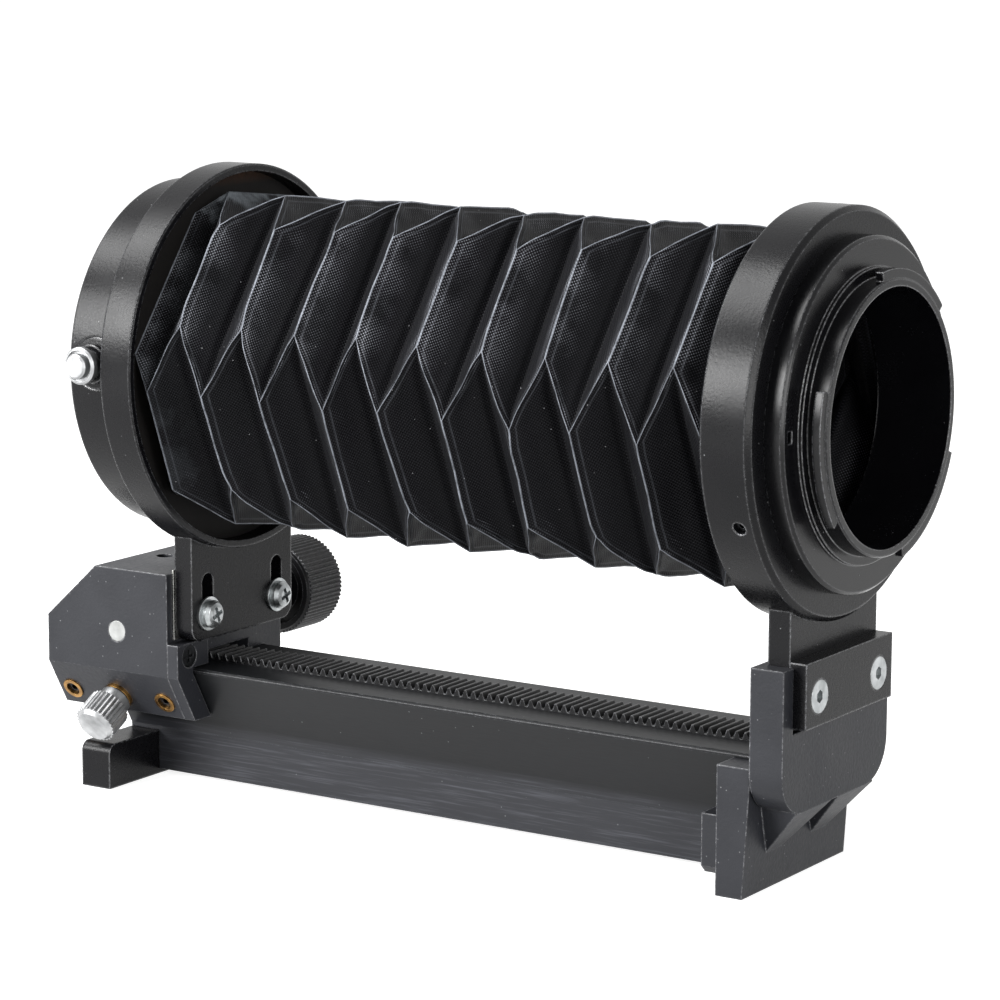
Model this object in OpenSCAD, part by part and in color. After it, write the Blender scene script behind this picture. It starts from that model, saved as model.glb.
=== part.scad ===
// Macro bellows unit: a toothed dovetail rail with a camera-side bayonet fixed at one end,
// and a geared carriage that slides the lens-side bayonet along it behind a pleated bellows.
// X runs along the rail towards the camera, Z is up. The origin is the centre of the
// camera-side flange seat, on the optical axis. Sizes are in millimetres.

/* [Overall] */
// Height of the optical axis above the underside of the feet
axis_h = 87.5; // [82:0.5:100]
// Length between the camera flange seat and the lens flange seat, fully drawn out
reach = 157; // [140:1:170]
// How far the carriage can travel towards the camera
travel = 85; // [40:1:88]
// Distance from the lens flange seat to the front of the lens ring
lens_stack = 18.2; // [17:0.1:22]

/* [Camera bayonet] */
// Diameter of the flange that seats on the camera
flange_d = 65; // [64:0.5:68]
// Thickness of that flange
flange_t = 3.8; // [3:0.1:6]
// Width of the chamfer round that flange
flange_chamfer = 0.6; // [0.2:0.1:1]
// Diameter of the stepped shoulder inside the flange seat
shoulder_d = 54; // [53:0.1:57]
// Height of the shoulder
shoulder_h = 0.8; // [0.4:0.1:1.4]
// Outer diameter of the bayonet throat
throat_d = 50.4; // [49.4:0.1:51.6]
// Diameter of the clear light path
light_d = 47.4; // [44:0.1:48]
// Reach of the throat past the flange seat
throat_h = 4.6; // [4:0.1:6]
// Diameter over the bayonet lugs
lug_d = 53.8; // [52.8:0.1:54]
// Thickness of a lug
lug_t = 1.9; // [1.4:0.1:2.2]
// Angle that each lug spans
lug_span = 56; // [40:1:60]
// Turn of the first lug from the +Y side
lug_turn = 43; // [0:1:60]
// Distance of the lock-pin slot from the axis
pin_r = 29.9; // [29.6:0.1:30.4]
// Diameter of the spigot behind the flange
spigot_d = 60; // [58:0.5:61]
// Length of that spigot
spigot_h = 6.8; // [5:0.1:6.9]
// Depth of the groove round the spigot
groove_depth = 1; // [0.6:0.1:1.4]

/* [Camera ring] */
// Outer diameter of the camera-side ring
cam_ring_d = 75.4; // [74:0.1:80]
// Thickness of that ring
cam_ring_t = 10; // [9.6:0.1:14]
// Width of the chamfer on its front edge
cam_ring_chamfer = 1; // [0.4:0.1:1.5]
// Depth of the recess that holds the bellows frame
cam_recess = 3; // [2.4:0.1:3]
// Wall of that recess
recess_wall = 1.9; // [1.5:0.1:2.4]
// Thread diameter of the ring's set screws
ring_screw_d = 2.5; // [2:0.1:3]
// Turn of the top set screw towards the knob's side
ring_screw_turn = 4.6; // [0:0.1:10]

/* [Lens ring] */
// Outer diameter of the lens-side ring
lens_ring_d = 77; // [76:0.1:84]
// Thickness of that ring
lens_ring_t = 7.5; // [7:0.1:12]
// Wall round its recess
lens_lip = 1.5; // [1.2:0.1:2.4]
// Depth of its recess
lens_recess = 5; // [4:0.1:5.5]
// Outer diameter of the mount ring behind it
mount_ring_d = 69.6; // [68.6:0.1:72]
// Diameter of the steel bayonet plate
plate_d = 63.6; // [63:0.1:65]
// Width of the plate from its bore to its edge
plate_land = 6.45; // [6:0.05:6.8]
// Thickness of the bayonet plate
plate_t = 2; // [1.8:0.1:2.4]
// Depth of the hollow behind the bayonet plate
lug_room = 3.4; // [3:0.1:4]
// Least rim of the mount ring round the bayonet plate
plate_rim = 2.4; // [2:0.1:3]
// Thread diameter of the bayonet plate's screws
plate_screw_d = 1.6; // [1.2:0.1:1.8]
// Thread diameter of the screws that join the lens ring and the mount ring
ring_screw_shank = 2; // [1.6:0.1:2.4]

/* [Bellows] */
// Number of full pleats
pleats = 9; // [6:1:14]
// Distance from the bellows centre line to its corners
bellows_r = 34.4; // [30:0.1:34.6]
// Angle by which each corner swings from pleat to pleat
corner_swing = 11.5; // [6:0.5:14]
// Thickness of the cloth wall
cloth_t = 0.8; // [0.5:0.1:1.5]
// Twist of the bellows about the optical axis
bellows_roll = 7; // [0:1:15]
// Flat length at the lens end of the bellows
bellows_end = 4.2; // [2:0.1:6]
// Flat length at the camera end of the bellows
bellows_start = 2.6; // [2:0.1:6]
// Thickness of the fibre frames glued to the bellows ends
frame_t = 1.2; // [0.8:0.1:1.5]

/* [Standard tabs] */
// Width of the tab under each ring
tab_w = 33.4; // [30:0.1:35]
// Thickness of the camera-side tab
cam_tab_t = 4.5; // [4:0.1:5]
// Thickness of the lens-side tab
lens_tab_t = 4.2; // [3.5:0.1:4.6]
// Distance between the two screws of a tab
screw_gap = 23; // [20:0.5:24]
// Height of the camera-side screws above the top of the rail
screw_h = 12.2; // [11.4:0.1:13]
// Height of the lens-side screws above the top of the rail
lens_screw_h = 11.3; // [10.6:0.1:12.5]
// Shank diameter of those screws
tab_screw_d = 3.2; // [2.6:0.1:3.4]
// Distance from the lens ring down to the top of the tab's slots
slot_gap = 4; // [3:0.1:5]
// Thickness of the shim behind the lens-side tab
shim_t = 0.4; // [0.2:0.1:0.8]
// Diameter of the lens-side washers
washer_d = 6.9; // [6:0.1:8]
// Thickness of those washers
washer_t = 0.5; // [0.3:0.1:0.8]

/* [Camera end bracket] */
// Width of the upright bracket
bracket_w = 40.8; // [39:0.1:46]
// Thickness of the upright bracket
bracket_t = 6.8; // [6.4:0.1:9]
// Height of the bracket's top above the top of the rail
bracket_rise = 18; // [17.5:0.5:18.4]
// Depth of the bracket below the top of the rail
bracket_drop = 9.5; // [8:0.5:11]
// Radius of the bracket's lower corners
bracket_r = 8; // [3:0.5:9]
// Width of the foot block
foot_w = 39.6; // [38:0.1:46]
// Thickness of the foot block along the rail
foot_t = 7; // [6:0.1:10]
// Set-back of the foot's front face at the bottom
foot_slant = 1.5; // [0:0.1:2]
// Length of the pad that carries the rail behind the foot block
pad_len = 5.2; // [3:0.1:10]
// Width of that pad
pad_w = 32; // [28:0.5:36]
// Thickness of the floor under the rail's web
foot_floor_t = 5.5; // [4:0.1:7]
// Width of each gusset where it meets the bracket
gusset_w = 13.8; // [10:0.1:15]
// Width of each gusset at its foot
gusset_foot_w = 5.4; // [4:0.1:8]
// Height of the gussets
gusset_h = 9.4; // [7:0.1:11]
// Thickness of the clamp plate over the tab
clamp_t = 3.4; // [2.5:0.1:4]
// Height of the clamp plate
clamp_h = 12.2; // [11.6:0.1:13]

/* [Rail] */
// Length of the rail
rail_len = 154; // [150:1:160]
// Width across the top of the rail
rail_w = 27; // [26:0.5:30]
// Height of the rail
rail_h = 24.5; // [23:0.1:26]
// Height of the square edge above the dovetail
rail_edge = 0.8; // [0.5:0.1:1.2]
// Slope of the dovetail flanks from level
flank_angle = 60; // [57:1:63]
// Thickness of the web below the dovetail
web_t = 10; // [9.6:0.1:12]
// Tooth module of the rack and pinion
tooth_module = 0.6; // [0.5:0.05:0.6]
// Width of the rack
rack_w = 9; // [7:0.1:11]
// Height of the rack's plain base
rack_base = 1.4; // [1.2:0.1:2]
// Depth of the channel that holds the rack
rack_channel = 1.2; // [0.8:0.1:1.3]
// Width of the foot plate at the lens end
end_foot_w = 42.4; // [40:0.1:48]
// Thickness of that foot plate
end_foot_t = 7.1; // [6:0.1:9]
// Height of that foot plate
end_foot_h = 9.1; // [8:0.1:9.3]
// Bore of the tripod socket under the rail
tripod_d = 6.35; // [5.5:0.05:6.4]
// Depth of the tripod socket
tripod_depth = 9; // [7:0.5:12]
// Thread diameter of the screw in the lens-end foot
foot_screw_d = 4; // [3:0.1:4.2]
// Thread diameter of the two screws under the camera-end foot
bracket_screw_d = 2.5; // [2:0.1:2.6]

/* [Carriage] */
// Length of the carriage housing
carriage_l = 30.6; // [30:0.1:36]
// Width of the carriage housing
carriage_w = 38; // [36.5:0.1:42]
// Height of the housing's top above the top of the rail
carriage_rise = 19.8; // [19:0.1:22]
// Size of the sloping corner at the lens end, along and down
corner_l = 12.5; // [8:0.5:14]
corner_h = 11.4; // [8:0.1:13]
// Depth of the jaws below the top of the rail
jaw_drop = 10.7; // [10:0.1:11.5]
// Depth below the rail top at which the jaws start to slope
jaw_start = 1.2; // [0.8:0.1:1.6]
// Thickness of the gib strip
gib_t = 1.6; // [1.2:0.1:1.8]
// Thickness of the gib keeper plate
keeper_t = 2.6; // [2:0.1:3]
// Distance between the gib screws along the rail
gib_pitch = 11.8; // [10:0.1:12]
// Height of the gib screws above the bottom of the jaw
gib_screw_h = 3.4; // [3:0.1:4]
// Outer diameter of the inserts that take the gib screws
gib_insert_d = 4.6; // [4:0.1:5.4]
// Bore of those inserts
gib_screw_d = 3; // [2.5:0.1:3.4]
// Thread diameter of the keeper plate's screw
keeper_screw_d = 2.5; // [2:0.1:3]

/* [Drive] */
// Number of pinion teeth
pinion_z = 20; // [19:1:22]
// Width of the pinion's teeth
pinion_w = 5.6; // [4:0.1:6]
// Length of the pinion's hub
hub_w = 4.2; // [3:0.1:5]
// Wall of the pinion's hub
hub_wall = 2.3; // [1.6:0.1:2.6]
// Diameter of the pinion shaft
shaft_d = 4.2; // [3.6:0.1:4.6]
// Distance of the shaft from the housing's rear face
shaft_back = 17.8; // [16:0.1:19]
// Length of the shaft's bush inside the housing
bush_l = 7; // [5:0.1:9]
// Wall of the bush
bush_wall = 1.85; // [1.2:0.05:2.2]
// Thickness of the bush's flange
bush_flange_t = 1.2; // [0.8:0.1:2]
// Diameter of the focusing knob
drive_knob_d = 19.8; // [16:0.1:24]
// Width of the focusing knob
drive_knob_w = 12.4; // [9:0.1:16]
// Gap between the housing and the focusing knob's rim
drive_knob_gap = 14.6; // [8:0.1:18]
// Number of grooves round the focusing knob
drive_knob_grooves = 64; // [40:4:80]
// Diameter of the focusing knob's hub
knob_hub_d = 11; // [9:0.1:12]

/* [Lock screw] */
// Diameter of the lock knob
lock_knob_d = 8.8; // [7:0.1:9.4]
// Length of the lock knob's knurled part
lock_knob_l = 6.2; // [4:0.1:7.2]
// Number of grooves round the lock knob
lock_knob_grooves = 28; // [20:2:40]
// Thread diameter of the lock screw
lock_d = 4; // [3.4:0.1:4]
// Distance that the lock screw backs off
lock_travel = 0.7; // [0.4:0.05:0.8]
// Wall of the lock screw's insert
lock_insert_wall = 1.05; // [0.8:0.05:1.4]
// Length of the lock knob's neck
lock_neck = 2.4; // [1.5:0.1:3]
// Thickness of the pad at the lock screw's tip
pad_t = 1; // [0.6:0.1:1.4]

/* [Lens release] */
// Diameter of the release button's head
button_d = 7.3; // [5.6:0.1:7.6]
// Thickness of that head
button_t = 1.4; // [1:0.1:2]
// Diameter of the plunger in the middle of the button
button_cap_d = 4.9; // [4:0.1:5.4]
// Height of that plunger over the button's rim
button_cap_h = 1.2; // [0.6:0.1:2]
// Diameter of the bush round the button
button_bush_d = 10; // [9:0.1:10.4]
// Diameter of the button's stem
button_stem_d = 4.9; // [3.6:0.1:5]
// Stand-off of the button's face from the mount ring
button_out = 4.8; // [4.4:0.1:6]
// Height of the button above the optical axis
button_z = 1.7; // [-3:0.1:3]
// Travel of the button
button_travel = 1.5; // [1:0.1:1.6]
// Depth of the bore that holds the button's spring
button_depth = 6.2; // [5:0.1:6.4]
// Diameter of the button's flange under its collar
button_flange_d = 6.3; // [5.6:0.1:6.8]
// Thickness of that flange
button_flange_t = 0.8; // [0.5:0.1:1.2]
// Wall of the collar round the button's stem
collar_wall = 1.3; // [1:0.1:1.6]
// Diameter of the lock pin
pin_d = 1.8; // [1.4:0.1:2]
// Stand-out of the lock pin from the bayonet plate
pin_out = 0.9; // [0.6:0.1:1.2]

/* [Fits] */
// Radial clearance of turning parts
turn_fit = 0.05; // [0.03:0.01:0.08]
// Clearance of the carriage on the rail
slide_fit = 0.06; // [0.04:0.01:0.1]
// Clearance round fixed parts that are assembled by hand
seat_fit = 0.05; // [0:0.01:0.1]
// Radial gap between a lens's throat and the bayonet plate
throat_fit = 0.15; // [0.1:0.01:0.25]
// Play between the teeth of the rack and of the pinion, half of it on each
backlash = 0.14; // [0.1:0.01:0.2]
// Free gap where moving parts pass each other
free_gap = 0.4; // [0.3:0.05:0.6]

/* [Hidden] */
$fn = 64;

black = [0.07, 0.07, 0.08];
cloth = [0.12, 0.12, 0.13];
steel = [0.75, 0.76, 0.78];
bright = [0.86, 0.86, 0.84];
brass = [0.72, 0.53, 0.25];
fibre = [0.36, 0.22, 0.12];

// Heights
base_z = -axis_h;
web_bottom = base_z + 1;
rail_top = web_bottom + rail_h;
edge_z = rail_top - rail_edge;
flank_run = (rail_w - web_t) / 2;
flank_z = edge_z - flank_run * tan(flank_angle);
rack_floor = rail_top - rack_channel;
rack_root = rack_floor + rack_base;
rack_crest = rack_root + 2.2 * tooth_module;
pitch_z = rack_crest - tooth_module;
pinion_r = pinion_z * tooth_module / 2;
shaft_z = pitch_z + pinion_r;

// Places along the rail, camera side first
ring_front = -flange_t;
ring_rear = ring_front - cam_ring_t;
cam_tab_front = ring_front - 2.5;
cam_tab_rear = cam_tab_front - cam_tab_t;
bracket_front = cam_tab_front + 0.8;
bracket_rear = bracket_front - bracket_t;
foot_rear = bracket_rear - foot_t;
rail_front = bracket_rear;
rail_rear = rail_front - rail_len;

// Places along the rail, lens side
plate_face = -reach;
plate_back = plate_face + plate_t;
lens_ring_front = plate_face + lens_stack;
lens_ring_rear = lens_ring_front - lens_ring_t;
lens_floor = lens_ring_front - lens_recess;
lens_tab_front = lens_ring_front - 2.4;
lens_tab_rear = lens_tab_front - lens_tab_t;
carriage_front = lens_tab_rear - shim_t;
carriage_rear = carriage_front - carriage_l;
shaft_x = carriage_rear + shaft_back;
carriage_top = rail_top + carriage_rise;

// Tab screws and bracket
screw_z = rail_top + screw_h;
lens_screw_z = rail_top + lens_screw_h;
tab_bottom = rail_top + 6;
bracket_top = rail_top + bracket_rise;
bracket_bottom = rail_top - bracket_drop;
foot_top = edge_z - 0.1;

// Carriage jaws
jaw_bottom = rail_top - jaw_drop;
jaw_top = rail_top - jaw_start;
channel_w = rack_w + 7;
channel_top = rack_crest + 0.8;
near_off = slide_fit + gib_t + 0.1;
far_off = slide_fit;

// Half width of the dovetail at height z, moved out by off measured square to the flank
function flank_y(z, off = 0) = rail_w / 2 - (edge_z - z) / tan(flank_angle) + off / sin(flank_angle);

// Outer half width of a jaw at height z
function jaw_y(z) = carriage_w / 2 - max(0, jaw_top - z) / tan(flank_angle);

// Gib screw axis: it leaves the near jaw square to its sloping face
gib_z = jaw_bottom + gib_screw_h;
gib_y = -jaw_y(gib_z);
gib_x = [for (i = [-1:1]) (carriage_front + carriage_rear) / 2 + i * gib_pitch];
jaw_wall = (jaw_y(gib_z) - flank_y(gib_z)) * sin(flank_angle) - near_off;

// Bellows
cam_frame_x = ring_rear + cam_recess - frame_t;
lens_frame_x = lens_floor + frame_t;
bellows_len = cam_frame_x - lens_frame_x;
half_pitch = (bellows_len - bellows_end - bellows_start) / pleats / 2;
frame_hole_d = 2 * bellows_r * 0.93 - 4;

// A flat outline in Y and Z, drawn out along X from x0 to x1
module along_x(x0, x1) {
    translate([x0, 0, 0]) rotate([90, 0, 90]) linear_extrude(x1 - x0) children();
}

// A flat outline in X and Z, drawn out along Y from y0 to y1
module along_y(y0, y1) {
    translate([0, y1, 0]) rotate([90, 0, 0]) linear_extrude(y1 - y0) children();
}

// A turned shape about the optical axis: points are [radius, x]
module turned(points) {
    rotate([0, 90, 0]) rotate_extrude($fn = 120) polygon(points);
}

// A round bar along X, Y or Z
module bar_x(x0, x1, d, y = 0, z = 0) {
    translate([x0, y, z]) rotate([0, 90, 0]) cylinder(h = x1 - x0, d = d);
}
module bar_y(y0, y1, d, x = 0, z = 0) {
    translate([x, y0, z]) rotate([-90, 0, 0]) cylinder(h = y1 - y0, d = d);
}
module bar_z(z0, z1, d, x = 0, y = 0) {
    translate([x, y, z0]) cylinder(h = z1 - z0, d = d);
}

// A box given by its two corners
module block(low, high) {
    translate(low) cube(high - low);
}

// Children placed on the near jaw, with +Z leaving the jaw's face at gib screw i
module at_jaw(i) {
    translate([gib_x[i], gib_y, gib_z]) rotate([180 - flank_angle, 0, 0]) children();
}

// A cross recess for a screwdriver, cut down from z = 0
module cross_slot(w, t, depth) {
    for (a = [0, 90]) rotate([0, 0, a]) translate([-w / 2, -t / 2, -depth]) cube([w, t, depth + 1]);
}

// An outline with n rounded grooves of the given depth round its rim
module grooved_disc(d, n, depth) {
    polygon([for (i = [0:4 * n - 1])
        let (r = d / 2 - (i % 4 == 0 ? depth : (i % 4 == 2 ? 0 : depth * 0.35)), a = 360 * i / (4 * n))
        [r * cos(a), r * sin(a)]]);
}

// ---------------------------------------------------------------- rail and feet

module rail_outline() {
    half = rail_w / 2;
    polygon([
        [-rack_w / 2 - seat_fit, rail_top], [-rack_w / 2 - seat_fit, rack_floor],
        [rack_w / 2 + seat_fit, rack_floor], [rack_w / 2 + seat_fit, rail_top],
        [half - 0.4, rail_top], [half, rail_top - 0.4], [half, edge_z],
        [web_t / 2, flank_z], [web_t / 2, web_bottom], [-web_t / 2, web_bottom],
        [-web_t / 2, flank_z], [-half, edge_z], [-half, rail_top - 0.4], [-half + 0.4, rail_top]]);
}

end_foot_top = base_z + end_foot_h;
end_foot_front = rail_rear + end_foot_t;
front_web_end = rail_front - 2;

module rail() {
    color(black) difference() {
        along_x(rail_rear, rail_front) rail_outline();
        // The lens-end foot takes the place of the web
        block([rail_rear - 1, -web_t, web_bottom - 1], [end_foot_front, web_t, end_foot_top + seat_fit]);
        // The web stops short behind the skin of the camera-end foot
        block([front_web_end, -web_t, web_bottom - 1], [rail_front + 1, web_t, bracket_bottom]);
        // Room for the floor of the camera-end foot
        block([foot_rear - pad_len, -web_t, web_bottom - 1], [rail_front + 1, web_t, foot_floor_z]);
        bar_z(web_bottom - 1, web_bottom + tripod_depth, tripod_d, x = (rail_front + rail_rear) / 2);
        // Screw holes for the two feet
        bar_x(rail_rear, end_foot_front + 9, foot_screw_d, z = foot_screw_z);
        for (s = [-1, 1])
            bar_z(foot_floor_z - 1, foot_floor_z + 6, bracket_screw_d, x = bracket_screw_x,
                y = s * bracket_screw_y);
    }
}

// Tooth spaces lie in step with the pinion, so one space faces the tooth that points down
module rack() {
    pitch = PI * tooth_module;
    half_root = pitch / 4 + backlash / 4 - 1.2 * tooth_module * tan(20);
    half_crest = pitch / 4 + backlash / 4 + tooth_module * tan(20);
    first = floor((rail_front - 0.4 - half_crest - shaft_x) / pitch);
    last = ceil((rail_rear + 0.4 + half_crest - shaft_x) / pitch);
    color(black) along_y(-rack_w / 2, rack_w / 2) polygon(concat(
        [[rail_rear, rack_floor], [rail_front, rack_floor], [rail_front, rack_crest]],
        [for (i = [first:-1:last], p = [[half_crest, rack_crest], [half_root, rack_root],
            [-half_root, rack_root], [-half_crest, rack_crest]])
            [shaft_x + i * pitch + p[0], p[1]]],
        [[rail_rear, rack_crest]]));
}

foot_floor_z = base_z + foot_floor_t;
foot_screw_z = base_z + end_foot_h / 2 + 0.2;
bracket_screw_x = (bracket_rear - foot_slant + foot_rear) / 2;
bracket_screw_y = 3;

// The upright bracket with its tab pocket, the foot block, the pad behind it and two gussets
module camera_end_bracket() {
    half = bracket_w / 2;
    pocket = tab_w / 2 + seat_fit * 2;
    color(black) difference() {
        union() {
            along_x(bracket_rear, bracket_front) difference() {
                hull() {
                    translate([-half, bracket_top - 1]) square([bracket_w, 1]);
                    for (s = [-1, 1]) translate([s * (half - bracket_r), bracket_bottom + bracket_r])
                        circle(bracket_r);
                }
            }
            // Foot block, thinner towards the ground
            along_y(-foot_w / 2, foot_w / 2) polygon([
                [foot_rear, foot_top], [bracket_rear, foot_top], [bracket_rear - foot_slant, base_z],
                [foot_rear, base_z]]);
            // Pad that carries the end of the rail
            along_x(foot_rear - pad_len, foot_rear + 1) polygon([
                [-pad_w / 2, flank_z + 4], [pad_w / 2, flank_z + 4], [pad_w / 2, base_z + 4],
                [pad_w / 2 - 1.5, base_z + 2.5], [-pad_w / 2 + 1.5, base_z + 2.5],
                    [-pad_w / 2, base_z + 4]]);
            // Tapered gussets under the bracket
            for (s = [-1, 1]) gusset(s);
        }
        // Pocket for the tab and the clamp plate
        block([cam_tab_rear, -pocket, tab_bottom - 0.2], [bracket_front + 1, pocket, bracket_top + 1]);
        // Seat of the rail's end
        rail_seat();
        for (s = [-1, 1]) bar_x(bracket_rear - 1, bracket_front, tab_screw_d, y = s * screw_gap / 2,
            z = screw_z);
        // Stepped holes for the two screws that hold the rail
        for (s = [-1, 1]) {
            bar_z(base_z - 1, foot_floor_z + 1, bracket_screw_d + 0.2, x = bracket_screw_x,
                y = s * bracket_screw_y);
            bar_z(base_z - 1, base_z + 1.6, bracket_screw_d * 1.8, x = bracket_screw_x,
                y = s * bracket_screw_y);
        }
    }
}

gusset_in = 1.2;
gusset_foot_in = 6;

module gusset(side) {
    z0 = bracket_bottom;
    z1 = bracket_bottom - gusset_h;
    back = bracket_rear - 0.9;
    top = gusset_in + gusset_w;
    foot = gusset_foot_in + gusset_foot_w;
    a = side > 0 ? [gusset_in, top, gusset_foot_in, foot] : [-top, -gusset_in, -foot, -gusset_foot_in];
    polyhedron(
        points = [[back, a[0], z0 + 1], [back, a[1], z0 + 1], [bracket_front, a[1], z0 + 0.01],
            [bracket_front, a[0], z0 + 0.01], [back - 0.6, a[2], z1], [back - 0.6, a[3], z1],
            [bracket_front - 0.5, a[1], z0 + 1], [bracket_front - 0.5, a[0], z0 + 1]],
        faces = [[0, 1, 6, 7], [7, 6, 2, 3], [3, 2, 5, 4], [0, 4, 5, 1], [0, 7, 3, 4], [1, 5, 2, 6]]);
}

// The space that the rail's end fills in the camera-end bracket
module rail_seat() {
    half = rail_w / 2 + seat_fit;
    difference() {
        along_x(foot_rear - pad_len - 1, rail_front) polygon([
            [-half, bracket_top], [-half, edge_z], [-web_t / 2 - seat_fit, flank_z],
            [-web_t / 2 - seat_fit, foot_floor_z], [web_t / 2 + seat_fit, foot_floor_z],
            [web_t / 2 + seat_fit, flank_z], [half, edge_z], [half, bracket_top]]);
        block([front_web_end, -web_t, base_z - 1], [rail_front + 1, web_t, bracket_bottom]);
    }
}

module lens_end_foot() {
    half = end_foot_w / 2;
    r = 2;
    color(black) difference() {
        along_x(rail_rear, end_foot_front) hull() {
            translate([-half, base_z]) square([end_foot_w, 1]);
            for (s = [-1, 1]) translate([s * (half - r), end_foot_top - r]) circle(r, $fn = 32);
        }
        bar_x(rail_rear - 1, end_foot_front + 1, foot_screw_d + 0.4, z = foot_screw_z);
        bar_x(rail_rear - 1, rail_rear + 2.4, foot_screw_d * 1.7 + 0.4, z = foot_screw_z);
    }
}

// A socket-head screw standing on z = 0 with its shank below
module cap_screw(d, length, head_d, head_h, socket = 2) {
    difference() {
        union() {
            cylinder(h = head_h, d = head_d);
            translate([0, 0, -length]) cylinder(h = length + 0.01, d = d);
        }
        translate([0, 0, head_h - 1.2]) cylinder(h = 2, d = socket, $fn = 6);
    }
}

module foot_screws() {
    head = foot_screw_d * 1.7;
    color(steel) {
        translate([rail_rear + 2.4, 0, foot_screw_z]) rotate([0, -90, 0])
            cap_screw(foot_screw_d - 0.1, end_foot_t + 4, head, 2.2, 2.5);
        for (s = [-1, 1]) translate([bracket_screw_x, s * bracket_screw_y, base_z + 1.6])
            rotate([180, 0, 0])
            cap_screw(bracket_screw_d - 0.1, foot_floor_z - base_z + 3, bracket_screw_d * 1.8 - 0.2, 1.5,
                1.5);
    }
}

module clamp_plate() {
    x1 = cam_tab_front + clamp_t;
    z1 = bracket_top + 1;
    z0 = z1 - clamp_h;
    color(black) difference() {
        block([cam_tab_front, -tab_w / 2, z0], [x1, tab_w / 2, z1]);
        for (s = [-1, 1]) {
            bar_x(cam_tab_front - 1, x1 + 1, tab_screw_d + 0.3, y = s * screw_gap / 2, z = screw_z);
            bar_x(x1 - 1.9, x1 + 1, 6.4, y = s * screw_gap / 2, z = screw_z);
        }
    }
}

module clamp_screws() {
    x1 = cam_tab_front + clamp_t - 1.9;
    color(bright) for (s = [-1, 1])
        translate([x1, s * screw_gap / 2, screw_z]) rotate([0, 90, 0])
            cap_screw(tab_screw_d - 0.1, x1 - bracket_rear - 0.2, 6.2, 1.9, 2.5);
}

// ---------------------------------------------------------------- camera side

module camera_ring() {
    r = cam_ring_d / 2;
    hole = spigot_d / 2 + seat_fit;
    recess_r = r - recess_wall;
    floor_x = ring_rear + cam_recess;
    color(black) difference() {
        union() {
            turned([[hole, ring_front], [r - cam_ring_chamfer, ring_front],
                [r, ring_front - cam_ring_chamfer],
                [r, ring_rear + 0.4], [r - 0.4, ring_rear], [recess_r, ring_rear], [recess_r, floor_x],
                [hole, floor_x]]);
            // Tab that stands in the bracket
            difference() {
                block([cam_tab_rear, -tab_w / 2, tab_bottom], [cam_tab_front, tab_w / 2, 0]);
                bar_x(ring_rear - 1, ring_front + 1, (recess_r + r));
            }
        }
        for (s = [-1, 1]) bar_x(cam_tab_rear - 1, cam_tab_front + 1, tab_screw_d + 0.3,
            y = s * screw_gap / 2, z = screw_z);
        for (i = [0:2]) rotate([i * 120 - ring_screw_turn, 0, 0])
            bar_z(hole - 1, r + 1, ring_screw_d, x = ring_screw_x);
    }
}

ring_screw_x = ring_front - cam_ring_t * 0.36;

module camera_bayonet() {
    flange_r = flange_d / 2;
    light_r = light_d / 2;
    spigot_end = ring_front - spigot_h;
    c = flange_chamfer;
    color(black) difference() {
        union() {
            turned([[light_r, spigot_end], [spigot_d / 2, spigot_end],
                [spigot_d / 2, ring_screw_x - 1.3], [spigot_d / 2 - groove_depth, ring_screw_x - 1.3],
                [spigot_d / 2 - groove_depth, ring_screw_x + 1.3], [spigot_d / 2, ring_screw_x + 1.3],
                [spigot_d / 2, ring_front], [flange_r, ring_front], [flange_r, -c], [flange_r - c, 0],
                [shoulder_d / 2, 0], [shoulder_d / 2, shoulder_h], [throat_d / 2, shoulder_h],
                [throat_d / 2, throat_h - 0.3], [throat_d / 2 - 0.3, throat_h], [light_r, throat_h]]);
            for (i = [0:2]) rotate([lug_turn + i * 120, 0, 0]) lug();
        }
        // Slot for the camera's lock pin
        translate([-1.8, -pin_r, 0]) block([0, -0.8, -1.1], [3, 0.8, 1.1]);
    }
}

// One bayonet lug: a sector of a ring, its first end on the +Y side
module lug() {
    rotate([90, 0, 90]) translate([0, 0, throat_h - lug_t]) rotate_extrude(angle = lug_span, $fn = 120)
        translate([throat_d / 2 - 0.5, 0]) square([(lug_d - throat_d) / 2 + 0.5, lug_t - 0.3]);
}

module ring_set_screws() {
    r = cam_ring_d / 2;
    tip = spigot_d / 2 - groove_depth + 0.1;
    color(steel) for (i = [0:2]) rotate([i * 120 - ring_screw_turn, 0, 0]) difference() {
        bar_z(tip, r - 1.1, ring_screw_d - 0.1, x = ring_screw_x);
        translate([ring_screw_x, 0, r - 2.3]) cylinder(h = 2, d = 1.2, $fn = 6);
    }
}

// A flat fibre frame with a round outside and a hexagonal window
module bellows_frame(x0, r) {
    color(fibre) rotate([-bellows_roll, 0, 0]) difference() {
        bar_x(x0, x0 + frame_t, r * 2);
        translate([x0 - 1, 0, 0]) rotate([0, 90, 0]) rotate([0, 0, 30])
            cylinder(h = frame_t + 2, d = frame_hole_d, $fn = 6);
    }
}

module camera_bellows_frame() {
    bellows_frame(cam_frame_x, cam_ring_d / 2 - recess_wall - seat_fit);
}

module lens_bellows_frame() {
    bellows_frame(lens_floor, lens_ring_d / 2 - lens_lip - seat_fit);
}

// ---------------------------------------------------------------- bellows

// Corner c of ring j: corners swing to and fro, so that neighbouring sides fold in turn
function ring_count() = 2 * pleats + 1;
function bellows_x(j) = j < 0 ? lens_frame_x : (j >= ring_count() ? cam_frame_x
    : lens_frame_x + bellows_end + j * half_pitch);
function bellows_point(j, c, r) =
    let (end = j < 0 || j >= ring_count(),
        swing = end ? 0 : ((c + j) % 2 == 0 ? -corner_swing : corner_swing),
        a = c * 60 + swing,
        rr = end ? r * 0.93 : r)
    [bellows_x(j), rr * cos(a), rr * sin(a)];

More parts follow.
